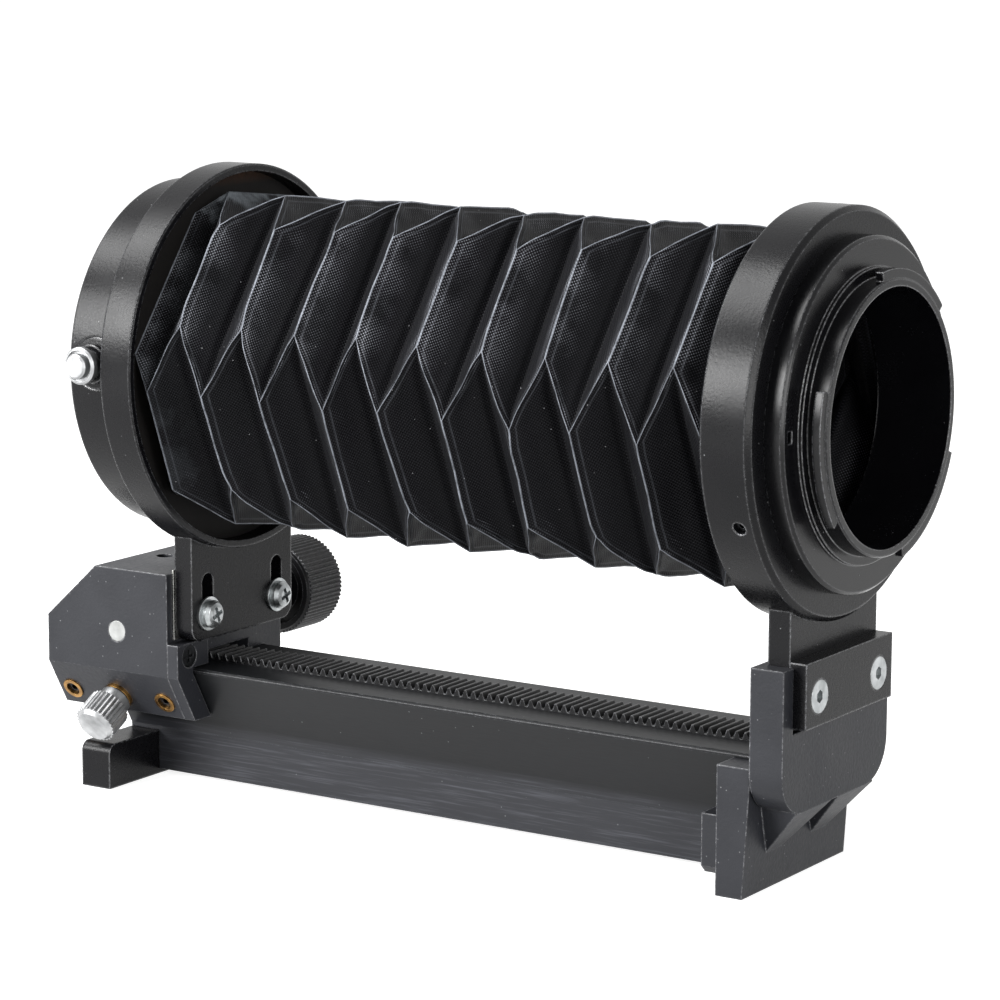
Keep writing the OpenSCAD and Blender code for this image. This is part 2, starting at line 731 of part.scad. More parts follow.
module bellows() {
    rings = ring_count() + 2;
    outer = [for (j = [-1:rings - 2], c = [0:5]) bellows_point(j, c, bellows_r)];
    inner = [for (j = [-1:rings - 2], c = [0:5]) bellows_point(j, c, bellows_r - cloth_t / cos(30))];
    n = rings * 6;
    quad = function (i, c, k) [k + i * 6 + c, k + i * 6 + (c + 1) % 6, k + (i + 1) * 6 + (c + 1) % 6,
        k + (i + 1) * 6 + c];
    flip = function (f) [f[3], f[2], f[1], f[0]];
    last = (rings - 1) * 6;
    color(cloth) rotate([-bellows_roll, 0, 0]) polyhedron(
        points = concat(outer, inner),
        faces = concat(
            [for (i = [0:rings - 2], c = [0:5]) quad(i, c, 0)],
            [for (i = [0:rings - 2], c = [0:5]) flip(quad(i, c, n))],
            [for (c = [0:5]) [c, c + n, (c + 1) % 6 + n, (c + 1) % 6]],
            [for (c = [0:5]) [last + c, last + (c + 1) % 6, last + (c + 1) % 6 + n, last + c + n]]));
}

// ---------------------------------------------------------------- lens side

// The carrying ring with its lip, its recess for the bellows frame, and the slotted tab
module lens_ring() {
    r = lens_ring_d / 2;
    recess_r = r - lens_lip;
    hole = light_d / 2 + 1.5;
    color(black) difference() {
        union() {
            turned([[hole, lens_floor], [recess_r, lens_floor], [recess_r, lens_ring_front],
                [r - 0.3, lens_ring_front], [r, lens_ring_front - 0.3], [r, lens_ring_rear + 0.5],
                [r - 0.5, lens_ring_rear], [hole, lens_ring_rear]]);
            difference() {
                tab_outline();
                bar_x(lens_ring_rear - 1, lens_ring_front + 1, (recess_r + r));
            }
        }
        for (s = [-1, 1]) slot(lens_tab_rear - 1, lens_tab_front + 1, s * screw_gap / 2);
        for (i = [0:3]) rotate([45 + i * 90, 0, 0]) {
            bar_x(lens_ring_rear - 1, lens_floor + 1, ring_screw_shank + 0.2, y = ring_screw_r);
            bar_x(lens_floor - 1, lens_floor + 1, ring_screw_shank * 2, y = ring_screw_r);
        }
    }
}

module tab_outline() {
    half = tab_w / 2;
    r = 3;
    along_x(lens_tab_rear, lens_tab_front) hull() {
        translate([-half, -1]) square([tab_w, 1]);
        for (s = [-1, 1]) translate([s * (half - r), tab_bottom + r]) circle(r, $fn = 32);
    }
}

slot_w = tab_screw_d + 0.5;
slot_low = lens_screw_z - 1.4;
slot_high = -lens_ring_d / 2 - slot_gap - slot_w / 2;

// A vertical slot with round ends, cut along X from x0 to x1
module slot(x0, x1, y) {
    for (z = [slot_low, slot_high]) bar_x(x0, x1, slot_w, y = y, z = z);
    block([x0, y - slot_w / 2, slot_low], [x1, y + slot_w / 2, slot_high]);
}

ring_screw_r = (light_d / 2 + 1.5 + mount_ring_d / 2) / 2 + 0.6;
spring_room = plate_back + lug_room;

mount_ring_r = max(mount_ring_d / 2, plate_d / 2 + plate_rim);
plate_bore_r = plate_d / 2 - plate_land;
plate_lug_r = plate_bore_r + (lug_d - throat_d) / 2;
plate_pin_r = plate_bore_r + pin_r - throat_d / 2 - throat_fit;

module lens_mount_ring() {
    r = mount_ring_r;
    cavity_r = plate_lug_r + 0.35;
    color(black) difference() {
        turned([[light_d / 2 + 0.8, spring_room], [cavity_r, spring_room], [cavity_r, plate_back],
            [plate_d / 2 + seat_fit, plate_back], [plate_d / 2 + seat_fit, plate_face],
            [r - 0.8, plate_face], [r, plate_face + 0.8], [r, lens_ring_rear],
                [light_d / 2 + 0.8, lens_ring_rear]]);
        bar_y(-r - 3, button_seat, button_collar_d, x = button_x, z = button_z);
        bar_y(-r - 3, button_floor, button_bore_d, x = button_x, z = button_z);
        // Seam of the bush round the button
        difference() {
            bar_y(-r - 3, -r + 1, button_bush_d + 0.3, x = button_x, z = button_z);
            bar_y(-r - 4, -r + 2, button_bush_d, x = button_x, z = button_z);
        }
        // Guide of the lock pin
        bar_x(plate_face - 1, pin_rear + pin_travel + 0.3, pin_d + 2 * turn_fit, y = -plate_pin_r,
            z = button_z);
        for (i = [0:3]) rotate([45 + i * 90, 0, 0]) {
            bar_x(plate_back - 1, plate_back + 4, plate_screw_d, y = plate_screw_r);
            bar_x(plate_face - 1, plate_face + 0.7, 2.8, y = plate_screw_r);
        }
        for (i = [0:3]) rotate([45 + i * 90, 0, 0])
            bar_x(lens_ring_rear - 4, lens_ring_rear + 1, ring_screw_shank, y = ring_screw_r);
    }
}

// Flush screws from the recess floor into the mount ring
module ring_screws() {
    color(steel) for (i = [0:3]) rotate([45 + i * 90, 0, 0]) translate([lens_floor - 0.95, ring_screw_r, 0])
        rotate([0, 90, 0]) difference() {
            union() {
                cylinder(h = 0.9, d = ring_screw_shank * 2 - 0.2);
                translate([0, 0, -4.5]) cylinder(h = 4.51, d = ring_screw_shank - 0.06);
            }
            translate([0, 0, 0.9]) cross_slot(2.4, 0.4, 0.5);
        }
}

plate_screw_r = (plate_d / 2 + plate_lug_r - throat_fit) / 2;

// The steel plate that a lens seats on: three openings let its lugs through
module lens_bayonet_plate() {
    c = 0.4;
    color(steel) difference() {
        turned([[plate_bore_r, plate_back], [plate_d / 2, plate_back], [plate_d / 2, plate_face + c],
            [plate_d / 2 - c, plate_face], [plate_bore_r, plate_face]]);
        for (i = [0:2]) rotate([lug_turn + i * 120 - 2, 0, 0])
            rotate([90, 0, 90]) translate([0, 0, plate_face - 1])
                rotate_extrude(angle = lug_span + 4, $fn = 120)
                translate([plate_bore_r - 1, 0]) square([plate_lug_r - plate_bore_r + 1, plate_t + 2]);
        bar_x(plate_face - 1, plate_back + 1, pin_d + 2 * turn_fit, y = -plate_pin_r, z = button_z);
        for (i = [0:3]) rotate([45 + i * 90, 0, 0]) {
            bar_x(plate_face - 1, plate_back + 1, plate_screw_d + 0.1, y = plate_screw_r);
            bar_x(plate_face - 1, plate_face + 0.7, 2.8, y = plate_screw_r);
        }
    }
}

module plate_screws() {
    color(steel) for (i = [0:3]) rotate([45 + i * 90, 0, 0])
        translate([plate_face + 0.7, plate_screw_r, 0]) rotate([0, -90, 0]) difference() {
            union() {
                cylinder(h = 0.6, d = 2.6);
                translate([0, 0, -4]) cylinder(h = 4.01, d = plate_screw_d - 0.05);
            }
            translate([0, 0, 0.6]) cross_slot(1.5, 0.35, 0.4);
        }
}

// Three leaf springs that press a lens's lugs against the plate
module bayonet_springs() {
    t = 0.35;
    color(steel) for (i = [0:2]) rotate([lug_turn + lug_span + 12 + i * 120, 0, 0])
        rotate([90, 0, 90]) translate([0, 0, spring_room - t]) rotate_extrude(angle = 40, $fn = 120)
            translate([plate_bore_r - 0.05, 0]) square([plate_lug_r - plate_bore_r, t]);
}

button_x = plate_face + 6.6;
button_collar_d = button_stem_d + 2 * turn_fit + 2 * collar_wall;
button_bore_d = button_flange_d + 0.2;
button_floor = -mount_ring_r + button_depth;
button_seat = -mount_ring_r + 0.4;
button_face = -mount_ring_r - button_out;

module release_button() {
    flange_y = button_seat + 0.1;
    color(bright) difference() {
        union() {
            bar_y(button_face, button_face + button_t, button_d, x = button_x, z = button_z);
            bar_y(button_face + button_t - 0.01, flange_y + 0.01, button_stem_d, x = button_x,
                z = button_z);
            bar_y(flange_y, flange_y + button_flange_t, button_flange_d, x = button_x, z = button_z);
            bar_y(button_face - button_cap_h, button_face + 1, button_cap_d, x = button_x, z = button_z);
        }
        // Groove between the rim and the plunger, and the plunger's own chamfer
        translate([button_x, button_face, button_z]) rotate([-90, 0, 0]) rotate_extrude()
            polygon([[button_cap_d / 2, -0.1], [button_d / 2 - 0.6, -0.1], [button_d / 2 - 0.6, 0.7],
                [button_cap_d / 2, 0.7]]);
        translate([button_x, button_face - button_cap_h, button_z]) rotate([-90, 0, 0]) rotate_extrude()
            polygon([[button_cap_d / 2 - 0.4, -0.1], [button_cap_d / 2 + 1, -0.1],
                [button_cap_d / 2 + 1, 0.4],
                [button_cap_d / 2, 0.4], [button_cap_d / 2 - 0.4, 0]]);
        // Chamfer round the button's face
        translate([button_x, button_face, button_z]) rotate([-90, 0, 0]) rotate_extrude()
            polygon([[button_d / 2 - 0.4, -0.1], [button_d / 2 + 1, -0.1], [button_d / 2 + 1, 0.4],
                [button_d / 2, 0.4], [button_d / 2 - 0.4, 0]]);
    }
}

module button_collar() {
    color(black) difference() {
        bar_y(button_seat - 1.5, button_seat, button_collar_d - 0.04, x = button_x, z = button_z);
        bar_y(button_seat - 3, button_seat + 1, button_stem_d + 2 * turn_fit, x = button_x, z = button_z);
    }
}

// A wire swept along a helix: each ring of sides lies square to the wire's path
module helix(r, wire, height, turns, sides = 6, per_turn = 14) {
    steps = ceil(turns * per_turn);
    points = [for (i = [0:steps], k = [0:sides - 1])
        let (a = 360 * turns * i / steps, b = 360 * k / sides, w = wire / 2)
        [(r + w * cos(b)) * cos(a), (r + w * cos(b)) * sin(a),
            wire / 2 + (height - wire) * i / steps + w * sin(b)]];
    side = [for (i = [0:steps - 1], k = [0:sides - 1])
        [i * sides + k, i * sides + (k + 1) % sides, (i + 1) * sides + (k + 1) % sides,
            (i + 1) * sides + k]];
    caps = [[for (k = [sides - 1:-1:0]) k], [for (k = [0:sides - 1]) steps * sides + k]];
    polyhedron(points = points, faces = [for (f = concat(side, caps)) [for (i = [len(f) - 1:-1:0]) f[i]]]);
}

module button_spring() {
    wire = 0.4;
    start = button_seat + 0.1 + button_flange_t + 0.02;
    length = button_floor - start - 0.02;
    color(steel) translate([button_x, start, button_z]) rotate([-90, 0, 0]) helix(1.9, wire, length, 3.5);
}

pin_rear = plate_back + 0.9;
pin_travel = pin_out + 0.1;

module lock_pin() {
    color(steel) union() {
        bar_x(plate_face - pin_out + 0.3, pin_rear, pin_d, y = -plate_pin_r, z = button_z);
        translate([plate_face - pin_out, -plate_pin_r, button_z]) rotate([0, 90, 0])
            cylinder(h = 0.31, d1 = pin_d - 0.5, d2 = pin_d);
    }
}

// ---------------------------------------------------------------- carriage

module jaw_outline() {
    half = carriage_w / 2;
    polygon([[-half, carriage_top], [-half, jaw_top], [-jaw_y(jaw_bottom), jaw_bottom],
        [jaw_y(jaw_bottom), jaw_bottom], [half, jaw_top], [half, carriage_top]]);
}

// The space that the rail, the rack and the gib strip pass through
module passage_outline() {
    low = jaw_bottom - 1;
    polygon([[-flank_y(edge_z, near_off), rail_top + slide_fit], [-flank_y(edge_z, near_off), edge_z],
        [-flank_y(low, near_off), low], [flank_y(low, far_off), low], [flank_y(edge_z, far_off), edge_z],
        [flank_y(edge_z, far_off), rail_top + slide_fit], [channel_w / 2, rail_top + slide_fit],
        [channel_w / 2, channel_top], [-channel_w / 2, channel_top],
            [-channel_w / 2, rail_top + slide_fit]]);
}

pinion_room_r = pinion_r + tooth_module + free_gap;
pinion_y0 = -1;
hub_y = pinion_y0 - hub_w / 2;

module carriage() {
    color(black) difference() {
        intersection() {
            along_x(carriage_rear, carriage_front) jaw_outline();
            along_y(-carriage_w, carriage_w) polygon([
                [carriage_rear, jaw_bottom - 1], [carriage_front, jaw_bottom - 1],
                    [carriage_front, carriage_top],
                [carriage_rear + corner_l, carriage_top], [carriage_rear, carriage_top - corner_h]]);
        }
        along_x(carriage_rear - 1, carriage_front + 1) passage_outline();
        // Room for the pinion, open to the rack below
        bar_y(pinion_y0 - hub_w - free_gap, pinion_y0 + pinion_w + free_gap, 2 * pinion_room_r,
            x = shaft_x, z = shaft_z);
        block([shaft_x - pinion_room_r, pinion_y0 - hub_w - free_gap, channel_top - 1],
            [shaft_x + pinion_room_r, pinion_y0 + pinion_w + free_gap, shaft_z]);
        bar_y(-carriage_w, carriage_w, shaft_d + 2 * turn_fit, x = shaft_x, z = shaft_z);
        bar_y(carriage_w / 2 - bush_l, carriage_w / 2 + 1, bush_d, x = shaft_x, z = shaft_z);
        // Access to the pinion's set screw
        bar_z(shaft_z, carriage_top + 1, 3.6, x = shaft_x, y = hub_y);
        for (s = [-1, 1]) bar_x(carriage_front - 9, carriage_front + 1, tab_screw_d,
            y = s * screw_gap / 2, z = lens_screw_z);
        for (i = [0:2]) at_jaw(i) translate([0, 0, -jaw_wall - 2])
            cylinder(h = jaw_wall + 4, d = insert_d[i]);
        bar_x(carriage_front - 6, carriage_front + 1, keeper_screw_d, y = keeper_screw_y,
            z = keeper_screw_z);
    }
}

insert_hole = [gib_screw_d, lock_d + 2 * turn_fit, gib_screw_d];
insert_d = [gib_insert_d, insert_hole[1] + 2 * lock_insert_wall, gib_insert_d];
insert_out = [0.3, 0.8, 0.3];

module gib_strip() {
    z0 = jaw_bottom + 0.6;
    z1 = edge_z - 0.6;
    inner = slide_fit;
    outer = slide_fit + gib_t;
    color(brass) along_x(carriage_rear + 0.1, carriage_front - 0.1) polygon([
        [-flank_y(z1, outer), z1], [-flank_y(z0, outer), z0], [-flank_y(z0, inner), z0],
            [-flank_y(z1, inner), z1]]);
}

keeper_screw_y = -(carriage_w / 2 + channel_w / 2) / 2 - 1.6;
keeper_screw_z = rail_top + 2.9;

// The plate on the near front face that keeps the gib strip from sliding out
module gib_keeper() {
    top = tab_bottom - 0.4;
    edge = channel_w / 2 + 1;
    color(black) difference() {
        along_x(carriage_front, carriage_front + keeper_t) polygon([
            [-carriage_w / 2, top], [-carriage_w / 2, jaw_top], [-jaw_y(jaw_bottom), jaw_bottom],
            [-flank_y(jaw_bottom, free_gap), jaw_bottom], [-flank_y(edge_z, free_gap), edge_z],
            [-flank_y(edge_z, free_gap), rail_top + free_gap], [-edge, rail_top + free_gap], [-edge, top]]);
        bar_x(carriage_front - 1, carriage_front + keeper_t + 1, keeper_screw_d + 0.2, y = keeper_screw_y,
            z = keeper_screw_z);
        bar_x(carriage_front + keeper_t - 1, carriage_front + keeper_t + 1, 4.6, y = keeper_screw_y,
            z = keeper_screw_z);
    }
}

module keeper_screw() {
    color(black) translate([carriage_front + keeper_t - 1, keeper_screw_y, keeper_screw_z])
        rotate([0, 90, 0]) difference() {
        union() {
            cylinder(h = 0.9, d = 4.4);
            translate([0, 0, -6]) cylinder(h = 6.01, d = keeper_screw_d - 0.05);
        }
        translate([0, 0, 0.9]) cross_slot(2.6, 0.5, 0.6);
    }
}

module gib_inserts() {
    color(brass) for (i = [0:2]) at_jaw(i) difference() {
        translate([0, 0, -jaw_wall]) cylinder(h = jaw_wall + insert_out[i], d = insert_d[i] - 0.04);
        translate([0, 0, -jaw_wall - 1]) cylinder(h = jaw_wall + 3, d = insert_hole[i]);
    }
}

// Slotless set screws that load the gib strip through the outer inserts
module gib_screws() {
    color(black) for (i = [0, 2]) at_jaw(i) difference() {
        translate([0, 0, -jaw_wall - 0.09]) cylinder(h = jaw_wall - 0.2, d = insert_hole[i] - 0.06);
        translate([0, 0, -1.5]) cylinder(h = 2, d = 1.5, $fn = 6);
    }
}

module lock_pad() {
    color(brass) at_jaw(1) translate([0, 0, -jaw_wall - 0.08]) cylinder(h = pad_t, d = lock_d - 0.4);
}

module lock_screw() {
    z0 = -jaw_wall - 0.08 + pad_t + 0.02;
    color(steel) at_jaw(1) translate([0, 0, z0]) cylinder(h = insert_out[1] + free_gap - z0, d = lock_d);
}

module lock_knob() {
    z0 = insert_out[1] + free_gap;
    color(bright) at_jaw(1) union() {
        translate([0, 0, z0]) cylinder(h = lock_neck, d = lock_knob_d - 2.2);
        translate([0, 0, z0 + lock_neck]) linear_extrude(lock_knob_l - 0.8)
            grooved_disc(lock_knob_d, lock_knob_grooves, 0.35);
        translate([0, 0, z0 + lock_neck + lock_knob_l - 0.8])
            cylinder(h = 0.8, d1 = lock_knob_d - 0.8, d2 = lock_knob_d - 2);
    }
}

// ---------------------------------------------------------------- drive

// Involute tooth outline: points run up one flank and down the other
function involute(base_r, r) = let (t = sqrt(max(0, pow(r / base_r, 2) - 1))) t * 180 / PI - atan(t);

module pinion() {
    base_r = pinion_r * cos(20);
    tip_r = pinion_r + tooth_module * 0.92;
    root_r = pinion_r - tooth_module * 1.22;
    half = 90 / pinion_z - backlash / 2 / pinion_r * 90 / PI + involute(base_r, pinion_r);
    steps = 4;
    radii = concat([root_r], [for (i = [0:steps]) base_r + (tip_r - base_r) * i / steps]);
    flank = [for (r = radii) [r, half - involute(base_r, r)]];
    color(brass) translate([shaft_x, pinion_y0, shaft_z]) rotate([-90, 0, 0]) difference() {
        union() {
            linear_extrude(pinion_w) polygon([for (t = [0:pinion_z - 1])
                let (a = 90 + t * 360 / pinion_z)
                for (k = [0:2 * len(flank) - 1])
                    let (p = k < len(flank) ? [flank[k][0], a - flank[k][1]]
                        : [flank[2 * len(flank) - 1 - k][0], a + flank[2 * len(flank) - 1 - k][1]])
                    [p[0] * cos(p[1]), p[0] * sin(p[1])]]);
            translate([0, 0, -hub_w]) cylinder(h = hub_w + 0.01, d = shaft_d + 2 * hub_wall);
        }
        translate([0, 0, -hub_w - 1]) cylinder(h = hub_w + pinion_w + 2, d = shaft_d + 0.04);
        translate([0, 0, -hub_w / 2]) rotate([90, 0, 0]) cylinder(h = 10, d = 2);
    }
}

module pinion_set_screw() {
    color(steel) bar_z(shaft_z + shaft_d / 2 + 0.05, shaft_z + shaft_d / 2 + hub_wall - 0.3, 1.94,
        x = shaft_x, y = hub_y);
}

knob_near = carriage_w / 2 + drive_knob_gap;
knob_far = knob_near + drive_knob_w;

module pinion_shaft() {
    color(bright) bar_y(-carriage_w / 2 + 0.05, knob_far - 3, shaft_d, x = shaft_x, z = shaft_z);
}

bush_d = shaft_d + 2 * turn_fit + 2 * bush_wall;

module shaft_bush() {
    color(brass) difference() {
        union() {
            bar_y(carriage_w / 2 - bush_l, carriage_w / 2 + 0.01, bush_d - 0.04, x = shaft_x, z = shaft_z);
            bar_y(carriage_w / 2, carriage_w / 2 + bush_flange_t, bush_d + 3, x = shaft_x, z = shaft_z);
        }
        bar_y(carriage_w / 2 - bush_l - 1, carriage_w / 2 + 3, shaft_d + 2 * turn_fit, x = shaft_x,
            z = shaft_z);
    }
}

knob_hub_y = carriage_w / 2 + bush_flange_t + free_gap;

// The focusing knob: a finely grooved rim, a dished inner face and a long hub
module drive_knob() {
    r = drive_knob_d / 2;
    color(black) translate([shaft_x, 0, shaft_z]) rotate([-90, 0, 0]) difference() {
        union() {
            translate([0, 0, knob_near + 0.6]) linear_extrude(drive_knob_w - 1.4)
                grooved_disc(drive_knob_d, drive_knob_grooves, 0.4);
            translate([0, 0, knob_near])
                cylinder(h = 0.61, d1 = drive_knob_d - 1.6, d2 = drive_knob_d - 0.9);
            translate([0, 0, knob_far - 0.81])
                cylinder(h = 0.81, d1 = drive_knob_d - 0.9, d2 = drive_knob_d - 2.4);
            translate([0, 0, knob_hub_y]) cylinder(h = knob_near - knob_hub_y + 3, d = knob_hub_d);
        }
        // Dished faces
        translate([0, 0, knob_near - 1]) difference() {
            cylinder(h = 2.6, r = r - 2);
            cylinder(h = 2.6, d = knob_hub_d);
        }
        translate([0, 0, knob_far - 0.6]) cylinder(h = 1, r = r - 2.6);
        translate([0, 0, knob_hub_y - 1])
            cylinder(h = knob_far - 2.95 - knob_hub_y + 1, d = shaft_d + 0.04);
        translate([0, 0, knob_hub_y + 3.4]) rotate([90, 0, 0]) cylinder(h = knob_hub_d, d = 3);
    }
}

module knob_set_screw() {
    z0 = shaft_z + shaft_d / 2 + 0.05;
    color(black) translate([shaft_x, knob_hub_y + 3.4, z0]) difference() {
        cylinder(h = knob_hub_d / 2 - shaft_d / 2 - 0.6, d = 2.94);
        translate([0, 0, knob_hub_d / 2 - shaft_d / 2 - 2]) cylinder(h = 3, d = 1.5, $fn = 6);
    }
}

// ---------------------------------------------------------------- height adjustment of the lens side

module tab_shim() {
    half = tab_w / 2 + 0.5;
    color(bright) difference() {
        block([carriage_front, -half, tab_bottom + 0.3],
            [carriage_front + shim_t, half, -lens_ring_d / 2 - slot_gap + 1]);
        for (s = [-1, 1]) slot(carriage_front - 1, carriage_front + 1, s * screw_gap / 2);
    }
}

module height_washers() {
    color(bright) for (s = [-1, 1]) difference() {
        bar_x(lens_tab_front, lens_tab_front + washer_t, washer_d, y = s * screw_gap / 2, z = lens_screw_z);
        bar_x(lens_tab_front - 1, lens_tab_front + 1, tab_screw_d + 0.2, y = s * screw_gap / 2,
            z = lens_screw_z);
    }
}

module height_screws() {
    head_d = 5.6;
    head_h = 2;
    x0 = lens_tab_front + washer_t;
    color(bright) for (s = [-1, 1]) translate([x0, s * screw_gap / 2, lens_screw_z]) rotate([0, 90, 0])
        difference() {
        union() {
            rotate_extrude() polygon([[0, 0], [head_d / 2, 0], [head_d / 2, head_h * 0.45],
                [head_d / 2 - 0.5, head_h * 0.8],
                [head_d / 2 - 1.3, head_h], [0, head_h]]);
            translate([0, 0, -lens_tab_t - shim_t - washer_t - 8])
                cylinder(h = lens_tab_t + shim_t + washer_t + 8.01, d = tab_screw_d - 0.1);
        }
        rotate([0, 0, 20]) translate([0, 0, head_h]) cross_slot(3.2, 0.8, 1.2);
    }
}

rail();
rack();
camera_end_bracket();
lens_end_foot();
foot_screws();
clamp_plate();
clamp_screws();
camera_ring();
camera_bayonet();
ring_set_screws();
camera_bellows_frame();
bellows();
lens_bellows_frame();
lens_ring();
ring_screws();
lens_mount_ring();
lens_bayonet_plate();
bayonet_springs();
plate_screws();
release_button();
button_collar();
button_spring();
lock_pin();
carriage();
gib_strip();
gib_keeper();
keeper_screw();
gib_inserts();
gib_screws();
lock_pad();
lock_screw();
lock_knob();
pinion();
pinion_set_screw();
pinion_shaft();
shaft_bush();
drive_knob();
knob_set_screw();
tab_shim();
height_washers();
height_screws();
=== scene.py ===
# %% [markdown]
# # A macro bellows unit, dressed in Blender
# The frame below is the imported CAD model: every rigid body and every named part. This lesson
# keeps those solids and gives each one the finish that the real metal has. Two pieces are worked
# out with numpy instead, because they change shape as the unit moves: the pleated cloth bellows
# and the coil spring under the release button.

# %% Load the frame and keep its box
import math
import bpy
import numpy as np
from mathutils import Matrix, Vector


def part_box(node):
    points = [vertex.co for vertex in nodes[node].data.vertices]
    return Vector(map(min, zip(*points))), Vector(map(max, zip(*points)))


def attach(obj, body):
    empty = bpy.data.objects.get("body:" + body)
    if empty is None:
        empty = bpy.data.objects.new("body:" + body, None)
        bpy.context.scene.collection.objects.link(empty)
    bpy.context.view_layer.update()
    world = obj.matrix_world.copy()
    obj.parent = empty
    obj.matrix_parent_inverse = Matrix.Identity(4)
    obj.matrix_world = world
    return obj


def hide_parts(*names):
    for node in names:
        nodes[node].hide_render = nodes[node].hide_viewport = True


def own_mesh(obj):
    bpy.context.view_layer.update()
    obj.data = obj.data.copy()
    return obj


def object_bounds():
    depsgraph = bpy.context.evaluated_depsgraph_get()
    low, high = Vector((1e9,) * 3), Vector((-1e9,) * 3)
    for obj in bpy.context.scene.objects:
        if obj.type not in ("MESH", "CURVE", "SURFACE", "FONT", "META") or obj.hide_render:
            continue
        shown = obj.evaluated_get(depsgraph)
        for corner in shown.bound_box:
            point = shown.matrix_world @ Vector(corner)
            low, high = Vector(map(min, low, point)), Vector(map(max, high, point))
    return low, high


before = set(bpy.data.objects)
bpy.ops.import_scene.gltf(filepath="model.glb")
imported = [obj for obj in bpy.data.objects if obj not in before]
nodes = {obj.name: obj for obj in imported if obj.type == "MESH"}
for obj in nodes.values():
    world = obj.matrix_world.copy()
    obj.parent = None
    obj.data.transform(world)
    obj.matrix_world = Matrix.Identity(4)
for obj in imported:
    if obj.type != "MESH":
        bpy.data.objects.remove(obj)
cad_box = [list(map(float, corner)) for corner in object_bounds()]
scene = bpy.context.scene
MM = 0.001
print("CAD nodes:", len(nodes), "box:", np.round(cad_box, 4).tolist())

# %% [markdown]
# ## Small helpers for the scene
# Cameras, lamps and meshes enter the scene in the same way: as data held by an object. A camera
# and a lamp look along their own -Z axis, so three directions and a place make their pose.

# %% Helpers for objects and poses
def put_in_scene(name, data):
    """A new object that holds the data, linked into the scene."""
    made = bpy.data.objects.new(name, data)
    scene.collection.objects.link(made)
    return made


def pose_of(x_axis, y_axis, z_axis, place):
    """The 4 by 4 matrix whose columns are three axes and a place."""
    pose = np.eye(4)
    pose[:3] = np.stack([x_axis, y_axis, z_axis, place], axis=1)
    return Matrix(pose.tolist())


def make_mesh(name, points, faces, body):
    """A smooth mesh from a list of points in metres and a list of faces, each a list of numbers."""
    mesh = bpy.data.meshes.new(name)
    mesh.from_pydata(points, [], faces)
    mesh.polygons.foreach_set("use_smooth", np.full(len(mesh.polygons), True))
    piece = put_in_scene(name, mesh)
    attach(piece, body)
    print(name, len(mesh.vertices), "points,", len(mesh.polygons), "faces")
    return piece

# %% [markdown]
# ## The camera
# A product photograph is taken from far away with a long lens, so that round parts stay round.
# The camera looks a little down and from the right, and its place was worked out from the
# ellipses of the two rings. Three directions make the camera's turn: right, up and back.

# %% Camera
AZIMUTH, ELEVATION, ROLL = (math.radians(a) for a in (32.98, 10.09, 0.19))
TARGET = np.array([-79.11, 0.0, -23.19]) * MM
DISTANCE = 705.98 * MM
FOCAL_MM, SENSOR_MM = 132.16, 36.0
NEAREST_M, FARTHEST_M = 0.01, 20.0

back = np.array([math.sin(AZIMUTH) * math.cos(ELEVATION),
                 -math.cos(AZIMUTH) * math.cos(ELEVATION),
                 math.sin(ELEVATION)])
level = np.array([math.cos(AZIMUTH), math.sin(AZIMUTH), 0.0])
upright = np.cross(back, level)
right = math.cos(ROLL) * level + math.sin(ROLL) * upright
up = -math.sin(ROLL) * level + math.cos(ROLL) * upright
eye = TARGET + back * DISTANCE

lens = bpy.data.cameras.new("camera")
lens.lens, lens.sensor_width = FOCAL_MM, SENSOR_MM
lens.clip_start, lens.clip_end = NEAREST_M, FARTHEST_M
camera = put_in_scene("camera", lens)
camera.matrix_world = pose_of(right, up, back, eye)
scene.camera = camera
print("camera at", np.round(eye, 4).tolist())

# %% [markdown]
# ## Small helpers for materials
# A material is a graph of nodes. One function adds a node with its settings and with what feeds
# it, and the ones after it name the few kinds of node that every finish uses, so that a finish
# reads as a short list. Colours are written as the hex values that a picture editor shows, and
# are turned into the linear values that a renderer adds up.

# %% Helpers for colours and nodes
WHITE = (1, 1, 1, 1)


def linear(hex_colour):
    """sRGB hex to linear RGBA: c becomes c/12.92 up to 0.04045, else ((c+0.055)/1.055)^2.4."""
    c = np.array([int(hex_colour[i:i + 2], 16) for i in (1, 3, 5)]) / 255.0
    rgb = np.where(c <= 0.04045, c / 12.92, ((c + 0.055) / 1.055) ** 2.4)
    return (*rgb.tolist(), 1.0)


def plug(node, values):
    """Links each value that is an output socket; others are properties or numbers for inputs."""
    for key, value in values.items():
        if isinstance(value, bpy.types.NodeSocket):
            node.id_data.links.new(value, node.inputs[key])
        elif isinstance(key, str) and hasattr(node, key):
            setattr(node, key, value)
        else:
            node.inputs[key].default_value = value
    return node


def add(tree, kind, values=None):
    """A new node of the given kind, with its values plugged in."""
    return plug(tree.nodes.new(kind), values or {})


def new_material(name, values=None):
    """A material with one Principled shader, whose constants are set on the shader itself."""
    made = bpy.data.materials.new(name)
    made.use_nodes = True
    return made, made.node_tree, plug(made.node_tree.nodes["Principled BSDF"], values or {})


def object_place(tree):
    """The point being shaded, in the object's own frame and in metres."""
    return add(tree, "ShaderNodeTexCoord").outputs["Object"]


def split(tree, vector):
    """The three numbers of a vector, found under "X", "Y" and "Z"."""
    return add(tree, "ShaderNodeSeparateXYZ", {0: vector}).outputs


def length(tree, vector):
    """sqrt(x^2 + y^2 + z^2)."""
    return add(tree, "ShaderNodeVectorMath", {"operation": "LENGTH", 0: vector}).outputs["Value"]


def scaled(tree, vector, factors):
    """The vector with each of its numbers multiplied by its own factor."""
    return add(tree, "ShaderNodeMapping", {"Scale": factors, "Vector": vector}).outputs[0]


